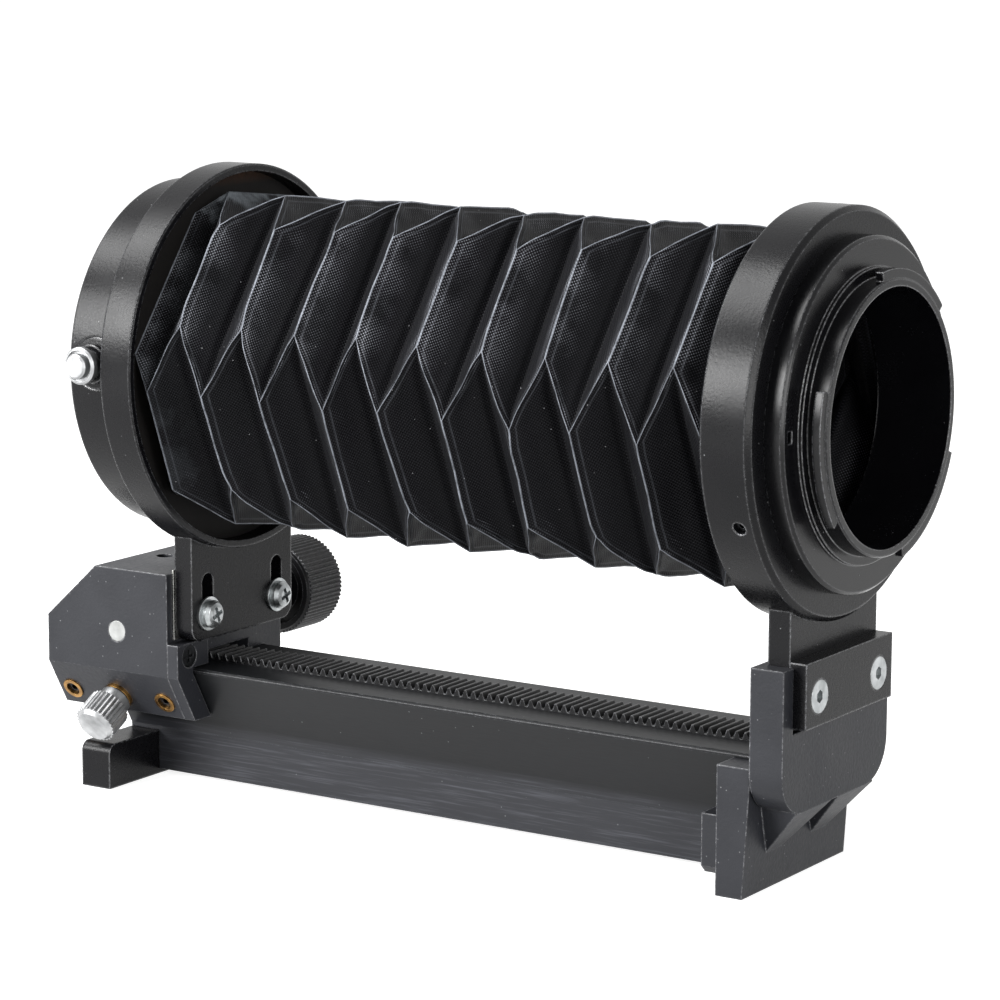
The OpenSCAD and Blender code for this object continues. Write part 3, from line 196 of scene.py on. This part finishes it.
def maths(tree, operation, *terms):
    """One Math node, whose terms are numbers or output sockets."""
    values = {"operation": operation, **dict(enumerate(terms))}
    return add(tree, "ShaderNodeMath", values).outputs[0]


def times(tree, first, *others):
    """The product of two or more numbers or sockets."""
    for other in others:
        first = maths(tree, "MULTIPLY", first, other)
    return first


def remap(tree, value, start, end, low=0.0, high=1.0, **settings):
    """low while value is at start or before it, and high at end or past it."""
    span = {"From Min": start, "From Max": end, "To Min": low, "To Max": high}
    return add(tree, "ShaderNodeMapRange", {"Value": value, **span, **settings}).outputs[0]


def noise(tree, place, size_mm, detail, roughness=0.5):
    """Soft random patches from 0 to 1, about size_mm across."""
    values = {"Scale": 1 / (size_mm * MM), "Detail": detail, "Roughness": roughness}
    return add(tree, "ShaderNodeTexNoise", {"Vector": place, **values}).outputs[0]


def specks(tree, place, apart_mm):
    """The distance to the nearest of many random points, where 1 is about apart_mm."""
    values = {"Scale": 1 / (apart_mm * MM), "Vector": place}
    return add(tree, "ShaderNodeTexVoronoi", values).outputs["Distance"]


def mix(tree, amount, under, over):
    """The colour under where amount is 0 and over where it is 1: hex values or sockets."""
    a, b = (linear(colour) if isinstance(colour, str) else colour for colour in (under, over))
    return add(tree, "ShaderNodeMix", {"data_type": "RGBA", 0: amount, 6: a, 7: b}).outputs[2]


def bumped(tree, height, depth_mm, normal=None):
    """The normal of a surface raised by height times depth_mm, over another normal if given."""
    values = {"Strength": 1.0, "Distance": depth_mm * MM, "Height": height}
    if normal is not None:
        values["Normal"] = normal
    return add(tree, "ShaderNodeBump", values).outputs[0]

# %% [markdown]
# ## Floor, lamps and world
# A black object on white needs large soft lamps: what the eye reads as form on black metal is
# the reflection of a bright sheet. The floor and the world show white to the camera only through
# Light Path, so no extra light falls on the object.

# %% Floor
FLOOR_Z = cad_box[0][2] - 0.1 * MM
FLOOR_REACH = 6.0


def seen_directly(tree):
    """1 for camera, mirror and glass rays, which see the white background, else 0."""
    ray = add(tree, "ShaderNodeLightPath").outputs
    either = maths(tree, "MAXIMUM", ray["Is Camera Ray"], ray["Is Glossy Ray"])
    return maths(tree, "MAXIMUM", either, ray["Is Transmission Ray"])


sheet = [(x * FLOOR_REACH, y * FLOOR_REACH, FLOOR_Z)
         for x, y in ((-1, -1), (1, -1), (1, 1), (-1, 1))]
floor_mesh = bpy.data.meshes.new("floor")
floor_mesh.from_pydata(sheet, [], [(0, 1, 2, 3)])
floor = put_in_scene("floor", floor_mesh)
floor_paint, tree, shader = new_material("white_sweep_paper", {
    "Roughness": 0.9, "Base Color": linear("#c4c4c4"), "Specular IOR Level": 0.0})
# The far paper gets little lamp light, so its glow grows to full white away from the object.
brighter = remap(tree, length(tree, object_place(tree)), 0.6, 2.5, 0.86, 1.0)
glow = add(tree, "ShaderNodeEmission", {"Color": WHITE, "Strength": brighter})
both = add(tree, "ShaderNodeAddShader", {0: shader.outputs[0], 1: glow.outputs[0]})
paper = add(tree, "ShaderNodeMixShader", {
    0: seen_directly(tree), 1: shader.outputs[0], 2: both.outputs[0]})
plug(tree.nodes["Material Output"], {"Surface": paper.outputs[0]})
floor_mesh.materials.append(floor_paint)
print("floor at", round(FLOOR_Z / MM, 2), "mm")

# %% World and lamps
SKY_LIGHT, SKY_SEEN = 0.16, 1.0

world = bpy.data.worlds.new("studio")
scene.world = world
world.use_nodes = True
sky = world.node_tree
sky.nodes.clear()
dim, white = (add(sky, "ShaderNodeBackground", {"Color": WHITE, "Strength": strength}).outputs[0]
              for strength in (SKY_LIGHT, SKY_SEEN))
blend = add(sky, "ShaderNodeMixShader", {0: seen_directly(sky), 1: dim, 2: white})
add(sky, "ShaderNodeOutputWorld", {"Surface": blend.outputs[0]})


def soft_lamp(name, place, aim, size, power):
    """A rectangular lamp at place, in metres and watts, whose -Z axis points at aim."""
    lamp = bpy.data.lights.new(name, "AREA")
    lamp.shape = "RECTANGLE"
    lamp.size, lamp.size_y = size
    lamp.energy = power
    away = np.array(place, float) - np.array(aim, float)
    away /= np.linalg.norm(away)
    side = np.cross([0.0, 0.0, 1.0], away)
    side /= np.linalg.norm(side)
    put_in_scene(name, lamp).matrix_world = pose_of(side, np.cross(away, side), away, place)


MIDDLE = (-0.08, 0.0, -0.02)
soft_lamp("top_softbox", (-0.58, -0.26, 0.80), MIDDLE, (0.5, 0.5), 10.5)
soft_lamp("left_softbox", (-0.60, -0.82, 0.36), MIDDLE, (0.6, 0.4), 20.0)
soft_lamp("right_softbox", (0.85, -0.55, 0.25), MIDDLE, (0.35, 0.7), 8.0)

# %% [markdown]
# ## Painted and anodised metal
# The rings are turned aluminium under satin black enamel. Sprayed enamel is never quite flat: it
# keeps a fine grain that scatters each highlight. Noise of a real grain size gives the bump and a
# small change of roughness, which keeps a broad grey highlight from looking like plastic. Dust
# lies on it in specks, and its edges are worn and polished by hands.

# %% Black finishes
DRIFT_MM = 9        # patches over which the paint's own tone changes
PEEL_MM = 0.55      # blisters of the orange-peel skin that sprayed enamel dries with
CHIPS_MM = 0.8      # patches where a worn edge has lost its paint
SPECK_MM, SPECK_CORE_MM = 0.17, 0.06    # where a speck of dust starts to show, and shows fully
DUST, DUST_COVER = "#77787a", 0.8


def rounded_normal(tree, radius_mm):
    """A normal that turns smoothly over every edge, as if the edge had this radius."""
    return add(tree, "ShaderNodeBevel", {"samples": 6, "Radius": radius_mm * MM}).outputs[0]


def worn_edge(tree, rounded):
    """How far the rounded normal leans from the face's own: 0 on flats, 1 on a sharp edge."""
    own = add(tree, "ShaderNodeNewGeometry").outputs["Normal"]
    lean = add(tree, "ShaderNodeVectorMath", {"operation": "DOT_PRODUCT", 0: rounded, 1: own})
    return remap(tree, lean.outputs["Value"], 0.99, 0.75)


def grained_black(name, base, lighter, grain_mm, bump_mm, rough, spread, specular=0.3,
                  stretch=(1, 1, 1), edge="#808185", edge_mm=0.35, edge_shine=0.6,
                  peel_mm=0.0, dust_mm=3.2):
    """Black paint: noise of grain_mm drives bump and roughness, and edges are rubbed and shiny.

    Roughness runs from rough - spread to rough + spread. peel_mm is the height of the
    orange-peel skin, and dust_mm is about how far apart its specks of dust lie."""
    made, tree, shader = new_material(name)
    place = object_place(tree)
    along = scaled(tree, place, stretch)
    grain = noise(tree, along, grain_mm, 2.0, 0.6)
    drift = noise(tree, along, DRIFT_MM, 3.0)
    speck = specks(tree, place, dust_mm)
    dust = remap(tree, speck, SPECK_MM / dust_mm, SPECK_CORE_MM / dust_mm, 0.0, DUST_COVER)
    rounded = rounded_normal(tree, edge_mm)
    rubbed = worn_edge(tree, rounded)
    chips = noise(tree, place, CHIPS_MM, 3.0, 0.7)
    chipped = times(tree, rubbed, remap(tree, chips, 0.42, 0.66))
    edged = mix(tree, chipped, mix(tree, drift, base, lighter), edge)
    worn = maths(tree, "ADD", grain, drift)
    skin = bumped(tree, noise(tree, place, PEEL_MM, 1.0), peel_mm, rounded)
    plug(shader, {
        "Base Color": mix(tree, dust, edged, DUST),
        "Specular IOR Level": remap(tree, rubbed, 0.0, 1.0, specular, edge_shine),
        "Roughness": remap(tree, worn, 0.6, 1.4, rough - spread, rough + spread),
        "Normal": bumped(tree, grain, bump_mm, skin)})
    return made


# Satin enamel: soft, broad highlights with a fine sparkle.
satin_enamel = grained_black("satin_black_enamel", "#070709", "#0d0d0f", 0.35, 0.01, 0.28, 0.05,
                             0.15, edge_mm=0.6, edge_shine=1.0, peel_mm=0.022)
# Black hard-anodised and buffed: the glossiest black on the unit.
buffed_anodise = grained_black("buffed_black_anodise", "#060608", "#0b0b0d", 0.5, 0.004, 0.24,
                               0.05, 0.22, edge_mm=0.5, edge_shine=1.0)
# Die casting under matt paint: a coarser grain, and a greyer black.
cast_paint = grained_black("matt_paint_on_casting", "#1b1c20", "#28292d", 0.7, 0.05, 0.44, 0.08,
                           0.22, edge="#8c8d90", edge_mm=0.5, dust_mm=2.0)
# Extrusion: the grain is drawn out along the rail, so it is stretched eight times along X.
drawn_anodise = grained_black("black_anodised_extrusion", "#0c0d0f", "#151618", 0.4, 0.014, 0.42,
                              0.06, 0.18, (0.125, 1, 1), edge="#94959a")
# Cut teeth that were blackened afterwards.
cut_teeth = grained_black("blackened_cut_steel", "#070708", "#101012", 0.5, 0.01, 0.4, 0.08, 0.2)
# Black anodised knob with crisp grooves.
knob_black = grained_black("anodised_knob_black", "#09090b", "#101012", 0.3, 0.006, 0.36, 0.06,
                           0.22)

# %% Lighter foot of the rail
# The foot of the rail is lighter grey towards the bottom, and long fine scratches run along it.
GREY_FROM_Z, GREY_FULL_Z = -74.5 * MM, -76.5 * MM

tree = drawn_anodise.node_tree
shader = tree.nodes["Principled BSDF"]
place = object_place(tree)
low_down = remap(tree, split(tree, place)["Z"], GREY_FROM_Z, GREY_FULL_Z)
hairs = noise(tree, scaled(tree, place, (0.03, 1, 1)), 0.55, 3.0, 0.7)
scratch = remap(tree, hairs, 0.5, 0.72)
grey_foot = times(tree, maths(tree, "MULTIPLY_ADD", scratch, 0.55, 0.3), low_down)
painted = shader.inputs["Base Color"].links[0].from_socket
plug(shader, {"Base Color": mix(tree, grey_foot, painted, "#44454a")})

# %% Turned face of the camera flange
# The buffed flange was turned on a lathe: fine grooves run round the X axis, at a distance of
# sqrt(y^2 + z^2), so the highlight becomes bright arcs.
GROOVE_MM, GROOVE_DEPTH_MM = 0.22, 0.012

tree = buffed_anodise.node_tree
shader = tree.nodes["Principled BSDF"]
across_axis = add(tree, "ShaderNodeVectorMath", {
    "operation": "MULTIPLY", 0: object_place(tree), 1: (0, 1, 1)}).outputs[0]
grooves = times(tree, length(tree, across_axis), 1 / (GROOVE_MM * MM))
groove = add(tree, "ShaderNodeTexNoise", {
    "noise_dimensions": "1D", "Scale": 1.0, "Detail": 3.0, "W": grooves}).outputs[0]
under = shader.inputs["Normal"].links[0].from_socket
plug(shader, {"Normal": bumped(tree, groove, GROOVE_DEPTH_MM, under)})
print("black finishes:", [m.name for m in (satin_enamel, buffed_anodise, cast_paint,
                                           drawn_anodise, cut_teeth, knob_black)])

# %% Bright metals
STAIN_MM = 3
METAL_EDGE_MM = 0.15


def bright_metal(name, colour, darker, grain_mm, bump_mm, rough, spread):
    """Bare metal: noise of grain_mm drives roughness and bump, and broad stains darken it."""
    made, tree, shader = new_material(name, {"Metallic": 1.0})
    place = object_place(tree)
    grain = noise(tree, place, grain_mm, 3.0)
    stain = remap(tree, noise(tree, place, STAIN_MM, 2.0), 0.35, 0.75)
    plug(shader, {
        "Base Color": mix(tree, stain, colour, darker),
        "Roughness": remap(tree, grain, 0.3, 0.7, rough - spread, rough + spread),
        "Normal": bumped(tree, grain, bump_mm, rounded_normal(tree, METAL_EDGE_MM))})
    return made


zinc = bright_metal("bright_zinc_plating", "#b9bcbd", "#8b8f90", 0.5, 0.006, 0.38, 0.1)
aluminium = bright_metal("turned_aluminium", "#adaeaf", "#7f8081", 0.25, 0.006, 0.42, 0.08)
dark_steel = bright_metal("oil_blackened_steel", "#3a3b3d", "#242527", 0.5, 0.005, 0.38, 0.1)
spring_steel = bright_metal("spring_steel", "#b8b8b4", "#8f8f8b", 0.4, 0.003, 0.3, 0.08)
ground_steel = bright_metal("ground_steel", "#9fa09f", "#7d7e7c", 0.2, 0.006, 0.4, 0.08)
chrome = bright_metal("satin_chrome", "#b4b6b9", "#a0a2a5", 0.3, 0.003, 0.3, 0.06)
brass = bright_metal("turned_brass", "#a57e48", "#4c3620", 0.3, 0.004, 0.34, 0.1)

# %% Fibre board
# The frames that hold the cloth are black fibre with brown strands. The strands are shown only
# near the top, where the light falls, as a painted highlight.
LIT_TOP_FROM, LIT_TOP_FULL = 34 * MM, 37 * MM

fibre, tree, shader = new_material("vulcanised_fibre", {
    "Roughness": 0.75, "Specular IOR Level": 0.2})
place = object_place(tree)
strands = noise(tree, place, 0.9, 4.0)
lit_near_top = remap(tree, split(tree, place)["Z"], LIT_TOP_FROM, LIT_TOP_FULL)
plug(shader, {"Base Color": mix(tree, times(tree, strands, lit_near_top), "#0c0a09", "#4e3422"),
              "Normal": bumped(tree, strands, 0.04)})

# %% Give every CAD node its finish
finish_of = {
    satin_enamel: ["camera_ring", "lens_ring", "lens_mount_ring", "clamp_plate", "button_collar",
                   "lens_end_foot"],
    buffed_anodise: ["camera_bayonet"],
    cast_paint: ["camera_end_bracket", "carriage", "gib_keeper"],
    drawn_anodise: ["rail"],
    cut_teeth: ["rack"],
    knob_black: ["drive_knob"],
    zinc: ["foot_screws", "clamp_screws", "plate_screws", "lock_pin", "lock_screw",
           "height_washers", "height_screws"],
    dark_steel: ["ring_set_screws", "ring_screws", "keeper_screw", "gib_screws",
                 "pinion_set_screw", "knob_set_screw"],
    aluminium: ["release_button", "lock_knob"],
    spring_steel: ["bayonet_springs", "tab_shim"],
    ground_steel: ["pinion_shaft"],
    chrome: ["lens_bayonet_plate"],
    brass: ["gib_strip", "gib_inserts", "lock_pad", "pinion", "shaft_bush"],
    fibre: ["camera_bellows_frame", "lens_bellows_frame"],
}
for finish, names in finish_of.items():
    for name in names:
        mesh = nodes[name].data
        mesh.materials.clear()
        mesh.materials.append(finish)
print("finished:", sum(map(len, finish_of.values())), "of", len(nodes))

# %% [markdown]
# ## The bellows
# The real bellows is black cloth glued over thin cards and folded so that six sides take turns to
# crease in and out. Each ring of the fold has six corners, and every corner swings by a small
# angle, first one way and then the other. That single rule makes all the flat facets, so the
# surface is computed from it: side, place along the side, and place between two rings.

# %% Bellows: corners of the fold
PLEATS = 9
CORNER_R = 34.4
SWING = math.radians(11.5)
ROLL_BACK = math.radians(7.0)
LENS_END, CAMERA_END = -142.6, -12.0
FLAT_LENS, FLAT_CAMERA = 4.2, 2.6
END_SHRINK = 0.93
UNEVEN = 0.5
rings = 2 * PLEATS + 1
pitch = (CAMERA_END - LENS_END - FLAT_LENS - FLAT_CAMERA) / (rings - 1)


def fold_corners():
    """(rings + 2, 6, 3) corners in mm: r at 60 degrees apart, swung by +-SWING, unswung at ends."""
    j = np.arange(-1, rings + 1)[:, None]
    c = np.arange(6)[None, :]
    end = (j < 0) | (j >= rings)
    x = np.clip(LENS_END + FLAT_LENS + j * pitch, LENS_END, CAMERA_END)
    x = np.where(j < 0, LENS_END, np.where(j >= rings, CAMERA_END, x)) + 0 * c
    swung = np.where(end, 0.0, np.where((c + j) % 2 == 0, -SWING, SWING))
    angle = np.radians(60.0 * c) + swung - ROLL_BACK
    r = np.where(end, CORNER_R * END_SHRINK, CORNER_R)
    placed = np.stack([x, r * np.cos(angle), r * np.sin(angle)], axis=-1)
    # No fold of cloth is exact: every free corner is up to half a millimetre off.
    off = np.random.default_rng(11).uniform(-UNEVEN, UNEVEN, placed.shape) * [0.9, 1, 1]
    return placed + np.where(end[..., None], 0.0, off)


corners = fold_corners()
print("fold rings:", corners.shape[0], "half pitch:", round(pitch, 3), "mm")

# %% Bellows: the cloth surface
# Lengths are in mm.
SIDE, FACET = 33.0, 11.0            # about how long and how tall one facet is
STEPS_ALONG = np.array([0, 0.4, 0.8, 1.2, 1.6, 2.2, 3.2, 5.0, 7.5])
STEPS_ACROSS = np.array([0, 0.4, 0.8, 1.2, 1.6, 2.2, 3.2, 4.4])
CARD = 0.16                         # how far the card lifts the cloth
CARD_FROM, CARD_FULL = 0.9, 1.7     # over which distances from a crease it does so
SAG, SAG_SIDE = 0.5, 6              # how far a facet sinks, and how near its sides that fades
BEAD = 0.14                         # how far a crease stands out
THIN_BEAD, MORE_BEAD = 0.3, 0.35    # its half width, and what a corner adds to it
BEAD_REACH = 2.5                    # how far from a corner it stays wider
PINCH, PINCH_REACH = 0.9, 2.4       # how deep a corner is pressed in, and how far that reaches
WAVES = ((0.5, 3, 12), (0.22, 5, 4.5))      # height, seed and length of the facets' waves
DRIFT, DRIFT_LENGTH = 0.3, 8        # how far the whole cloth wanders, and over what length
DRIFT_SEEDS = (21, 22, 23)
MAP_SIDE, MAP_RING = 60, 12         # how far apart neighbouring facets lie in the thread map
WELD = 0.004                        # points this close are merged
CLOTH_WALL = 0.6


def close_to_edges(steps, span):
    """Places from 0 to 1 on a span in mm: the given steps from either end, and the middle."""
    near = steps[steps < 0.46 * span] / span
    return np.concatenate([near, [0.5], 1 - near[::-1]])


def smooth_noise(p, seed, size):
    """The mean of eight sine waves with seeded directions and with wavelengths near size."""
    rng = np.random.default_rng(seed)
    ways = rng.normal(size=(8, 3))
    ways /= np.linalg.norm(ways, axis=1, keepdims=True)
    lengths = size * rng.uniform(0.7, 1.6, 8)
    phase = p @ (ways / lengths[:, None]).T * 2 * np.pi
    return np.sin(phase + rng.uniform(0, 6.28, 8)).mean(axis=-1)


def rise(d, low, high):
    """Smooth step from 0 at low to 1 at high: 3t^2 - 2t^3."""
    t = np.clip((d - low) / (high - low), 0, 1)
    return t * t * (3 - 2 * t)


def facet(j, c, u, v, pinch):
    """The patch on side c between rings j and j + 1: its points, and its two maps, in mm.

    It is bilinear between four corners, and then moved along its normal: up where the card
    lies, down in its middle, and to and fro in waves. A bead exp(-(d/w)^2) stands on the
    outward crease at distance d, wider near corners, where several layers meet."""
    ends = [(j + a, (c + b) % 6) for a in (0, 1) for b in (0, 1)]
    a0, a1, b0, b1 = (corners[end] for end in ends)
    grid = ((1 - u) * (1 - v))[..., None] * a0 + ((1 - u) * v)[..., None] * a1 \
        + (u * (1 - v))[..., None] * b0 + (u * v)[..., None] * b1
    normal = np.cross(b0 - a0, a1 - a0)
    normal /= np.linalg.norm(normal)
    if normal @ ((a0 + a1 + b0 + b1) * [0, 1, 1]) < 0:
        normal = -normal

    wide_a, wide_b = np.linalg.norm(a1 - a0), np.linalg.norm(b1 - b0)
    tall = np.linalg.norm((b0 + b1) / 2 - (a0 + a1) / 2)
    across = u * tall + 0 * v
    width = (1 - u) * wide_a + u * wide_b
    along = (v - 0.5) * width
    to_side = width / 2 - np.abs(along)
    # The short edge is the ridge, because a short side stands further out.
    to_ridge = across if wide_a < wide_b else tall - across
    nearest = np.minimum(np.minimum(to_side, to_ridge), tall - to_ridge)
    reach = [np.linalg.norm(grid - corner, axis=-1) for corner in (a0, a1, b0, b1)]

    card = CARD * rise(nearest, CARD_FROM, CARD_FULL)
    sag = -SAG * np.sin(np.pi * np.clip(to_ridge / tall, 0, 1)) ** 2 \
        * np.clip(to_side / SAG_SIDE, 0, 1)
    wave = sum(amount * smooth_noise(grid, seed, size) for amount, seed, size in WAVES)
    lift = card + sag + wave * np.clip(nearest / 3, 0, 1)
    w = THIN_BEAD + MORE_BEAD * np.exp(-(np.minimum.reduce(reach) / BEAD_REACH) ** 2)
    bead = np.exp(-(np.minimum(to_ridge, to_side) / w) ** 2)
    # Each corner of the fold is pinched in by its own amount.
    pinched = sum(pinch[end] * np.exp(-(d / PINCH_REACH) ** 2) for end, d in zip(ends, reach))
    outward = grid * [0, 1, 1]
    outward /= np.linalg.norm(outward, axis=-1, keepdims=True)
    # And the whole cloth wanders a little, creases and all, except where the frames hold it.
    loose = rise(grid[..., 0], LENS_END + 5, LENS_END + 12) * rise(-grid[..., 0], 16, 22)
    drift = np.stack([smooth_noise(grid, seed, DRIFT_LENGTH) for seed in DRIFT_SEEDS], axis=-1)
    moved = grid + DRIFT * loose[..., None] * drift + normal * lift[..., None] \
        + outward * (BEAD * bead - pinched)[..., None]
    on_cloth = np.stack([along + MAP_SIDE * c, across + MAP_RING * j], axis=-1)
    to_creases = np.stack([to_ridge, to_side], axis=-1)
    return moved.reshape(-1, 3), on_cloth.reshape(-1, 2), to_creases.reshape(-1, 2)


def cloth_surface():
    """All facets of the fold, side by side: their points, faces and two maps."""
    u = close_to_edges(STEPS_ACROSS, FACET)[:, None]
    v = close_to_edges(STEPS_ALONG, SIDE)[None, :]
    number = np.arange(u.size * v.size).reshape(u.size, v.size)
    quad = np.stack([number[:-1, :-1], number[:-1, 1:], number[1:, 1:], number[1:, :-1]], axis=-1)
    pinch = PINCH * np.random.default_rng(5).uniform(0, 1, corners.shape[:2]) ** 2
    pinch[[0, 1, -2, -1]] = 0.0
    facets = [facet(j, c, u, v, pinch) for j in range(corners.shape[0] - 1) for c in range(6)]
    faces = [quad.reshape(-1, 4) + i * number.size for i in range(len(facets))]
    return [np.concatenate(part) for part in (*zip(*facets), faces)]


points, plane, edges, faces = cloth_surface()
# Neighbouring facets share their edges: equal points are merged, and the maps stay per face.
key = np.round(points / WELD).astype(np.int64)
_, first, inverse = np.unique(key, axis=0, return_index=True, return_inverse=True)
welded, joined = points[first], inverse.ravel()[faces]
bellows = make_mesh("bellows_cloth", (welded * MM).tolist(), joined.tolist(), "stand")
mesh = bellows.data
# One map in mm along and across the cloth, for its threads, and one of the ways to its creases.
for name, values in (("cloth_mm", plane), ("crease_mm", edges)):
    mesh.uv_layers.new(name=name).data.foreach_set("uv", values[faces].reshape(-1))
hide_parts("bellows")

# A seam that failed to join would leave open edges besides those of the two ends.
sides = np.sort(np.stack([joined, np.roll(joined, -1, axis=1)], axis=-1).reshape(-1, 2), axis=1)
used = np.unique(sides, axis=0, return_counts=True)[1]
print("edges with one face:", int((used == 1).sum()),
      "of which the two ends have", 12 * (len(close_to_edges(STEPS_ALONG, SIDE)) - 1))

# %% [markdown]
# ## Woven cloth
# A plain weave shows as dots: each thread passes over one and under the next, so its height is
# the product of two sine waves. The dots are painted grey as highlight beside each ridge, on
# facets that face up, while the valleys stay the cloth's own black. The creases carry thin bright
# lines of painted highlight, and are a little glossier.

# %% Bellows: woven cloth
THREAD = 0.35
TALL = float(edges[:, 0].max())
CLOTH_BLACK, THREAD_HIGHLIGHT_GREY, CREASE_HIGHLIGHT_GREY = "#020204", "#a4a6ae", "#858991"
END_HIGHLIGHT_GREY, DUST_GREY = "#8f969c", "#8e8e90"

weave_black, tree, shader = new_material("woven_rubberised_cloth", {
    "Specular IOR Level": 0.07, "Sheen Weight": 0.02, "Sheen Roughness": 0.4})


def step_down(tree, value, start, end):
    """1 while value is under start, falling smoothly to 0 at end."""
    return remap(tree, value, start, end, 1.0, 0.0, interpolation_type="SMOOTHSTEP")


flat, gap = (split(tree, add(tree, "ShaderNodeUVMap", {"uv_map": name}).outputs[0])
             for name in ("cloth_mm", "crease_mm"))
place = object_place(tree)
patches = noise(tree, place, 8, 3.0)
waves = [maths(tree, "SINE", times(tree, flat[axis], math.pi / THREAD)) for axis in ("X", "Y")]
thread = maths(tree, "MULTIPLY_ADD", times(tree, *waves), 0.5, 0.5)

# Painted highlight on the thread dots: full beside the ridge, gone at two thirds of the facet,
# broken up by patches, and only on facets that look up, but not straight up.
near_ridge = step_down(tree, gap["X"], 0.5, 0.66 * TALL)
patchy = remap(tree, patches, 0.4, 0.62, 0.1, 1.0)
facing = split(tree, add(tree, "ShaderNodeNewGeometry").outputs["True Normal"])["Z"]
upward = times(tree, remap(tree, facing, -0.2, 0.2), remap(tree, facing, 0.72, 0.5, 0.12, 1.0))
lit_near_ridge = times(tree, near_ridge, patchy, upward)

# Painted highlight: bright lines on the creases. Those between two sides are sharper than the
# ridges, so theirs are thinner. A second, weaker painted line marks the edge of the card.
glint = noise(tree, place, 2.6, 4.0, 0.75)
broken = remap(tree, glint, 0.3, 0.7, 0.3, 1.0)
nearest = maths(tree, "MINIMUM", gap["X"], gap["Y"])
finer = maths(tree, "MINIMUM", gap["X"], times(tree, gap["Y"], 1.2))
line = times(tree, step_down(tree, finer, 0.12, 0.36), broken)
ledge = maths(tree, "SUBTRACT", step_down(tree, nearest, 1.5, 1.75),
              step_down(tree, nearest, 1.2, 1.45))
lines = maths(tree, "MULTIPLY_ADD", times(tree, ledge, broken), 0.12, line)

sharp = maths(tree, "POWER", thread, 5.0)
dots = times(tree, sharp, maths(tree, "MULTIPLY_ADD", lit_near_ridge, 0.94, 0.06))
cloth_with_highlights = mix(tree, lines, mix(tree, dots, CLOTH_BLACK, THREAD_HIGHLIGHT_GREY), CREASE_HIGHLIGHT_GREY)
# Painted highlight: pale patches where the cloth's end is stuck to the fibre frame, near the top.
spot = split(tree, place)
at_end = remap(tree, spot["X"], -133 * MM, -139 * MM)
at_top = remap(tree, spot["Z"], 24 * MM, 31 * MM, 0.08, 1.0)
end_highlight_patches = remap(tree, patches, 0.5, 0.62, 0.0, 0.68)
with_end_highlight = mix(tree, times(tree, at_end, at_top, end_highlight_patches), cloth_with_highlights, END_HIGHLIGHT_GREY)
dust = step_down(tree, specks(tree, place, 3.0), 0.015, 0.05)

# The threads stand 0.1 mm high where they aren't polished flat, and the card's edge 0.08 mm.
weave = times(tree, thread, 0.1, maths(tree, "SUBTRACT", 1.0, line))
height = maths(tree, "MULTIPLY_ADD", step_down(tree, nearest, 1.1, 1.8), -0.08, weave)
plug(shader, {
    "Base Color": mix(tree, dust, with_end_highlight, DUST_GREY),
    "Roughness": remap(tree, line, 0.0, 1.0, 0.52, 0.3),
    "Normal": bumped(tree, height, 1.0)})
mesh.materials.append(weave_black)

wall = bellows.modifiers.new("cloth_wall", "SOLIDIFY")
wall.thickness = CLOTH_WALL * MM
wall.offset = -1.0
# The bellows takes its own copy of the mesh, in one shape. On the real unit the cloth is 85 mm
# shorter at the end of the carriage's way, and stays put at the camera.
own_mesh(bellows)

# %% [markdown]
# ## The spring under the release button
# A coil spring gets shorter as the button goes in, and its turns come closer together; here it
# is built once, at the length of the spring part. Its wire is a small circle carried round a helix.

# %% Button spring
WIRE, COIL_R, TURNS = 0.4, 1.9, 3.5
PER_TURN, SIDES = 32, 10


def coil(low, high):
    """Rings of SIDES points round (r cos a, h, -r sin a), where h grows evenly with the angle a."""
    t = np.linspace(0, 1, int(TURNS * PER_TURN) + 1)[:, None]
    a = 2 * np.pi * TURNS * t
    b = 2 * np.pi * np.arange(SIDES)[None, :] / SIDES
    radius = COIL_R + WIRE / 2 * np.cos(b)
    y = low[1] + WIRE / 2 + (high[1] - low[1] - WIRE) * t + WIRE / 2 * np.sin(b)
    middle_x, middle_z = (low[0] + high[0]) / 2, (low[2] + high[2]) / 2
    loops = np.stack([middle_x + radius * np.cos(a), y, middle_z - radius * np.sin(a)], axis=-1)
    number = np.arange(loops.shape[0] * SIDES).reshape(-1, SIDES)
    after = np.roll(number, -1, axis=1)
    walls = np.stack([number[:-1], number[1:], after[1:], after[:-1]], axis=-1).reshape(-1, 4)
    ends = [number[0, ::-1].tolist(), number[-1].tolist()]
    return loops.reshape(-1, 3), walls.tolist() + ends


low, high = (np.array(corner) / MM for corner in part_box("button_spring"))
wire_points, wire_faces = coil(low, high)
spring = make_mesh("button_coil_spring", (wire_points * MM).tolist(), wire_faces,
                   "lens_carriage")
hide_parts("button_spring")
spring.data.materials.append(spring_steel)
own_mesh(spring)
print("spring from", np.round(low, 2), "to", np.round(high, 2), "mm")

# %% View transform
scene.view_settings.view_transform = "Standard"
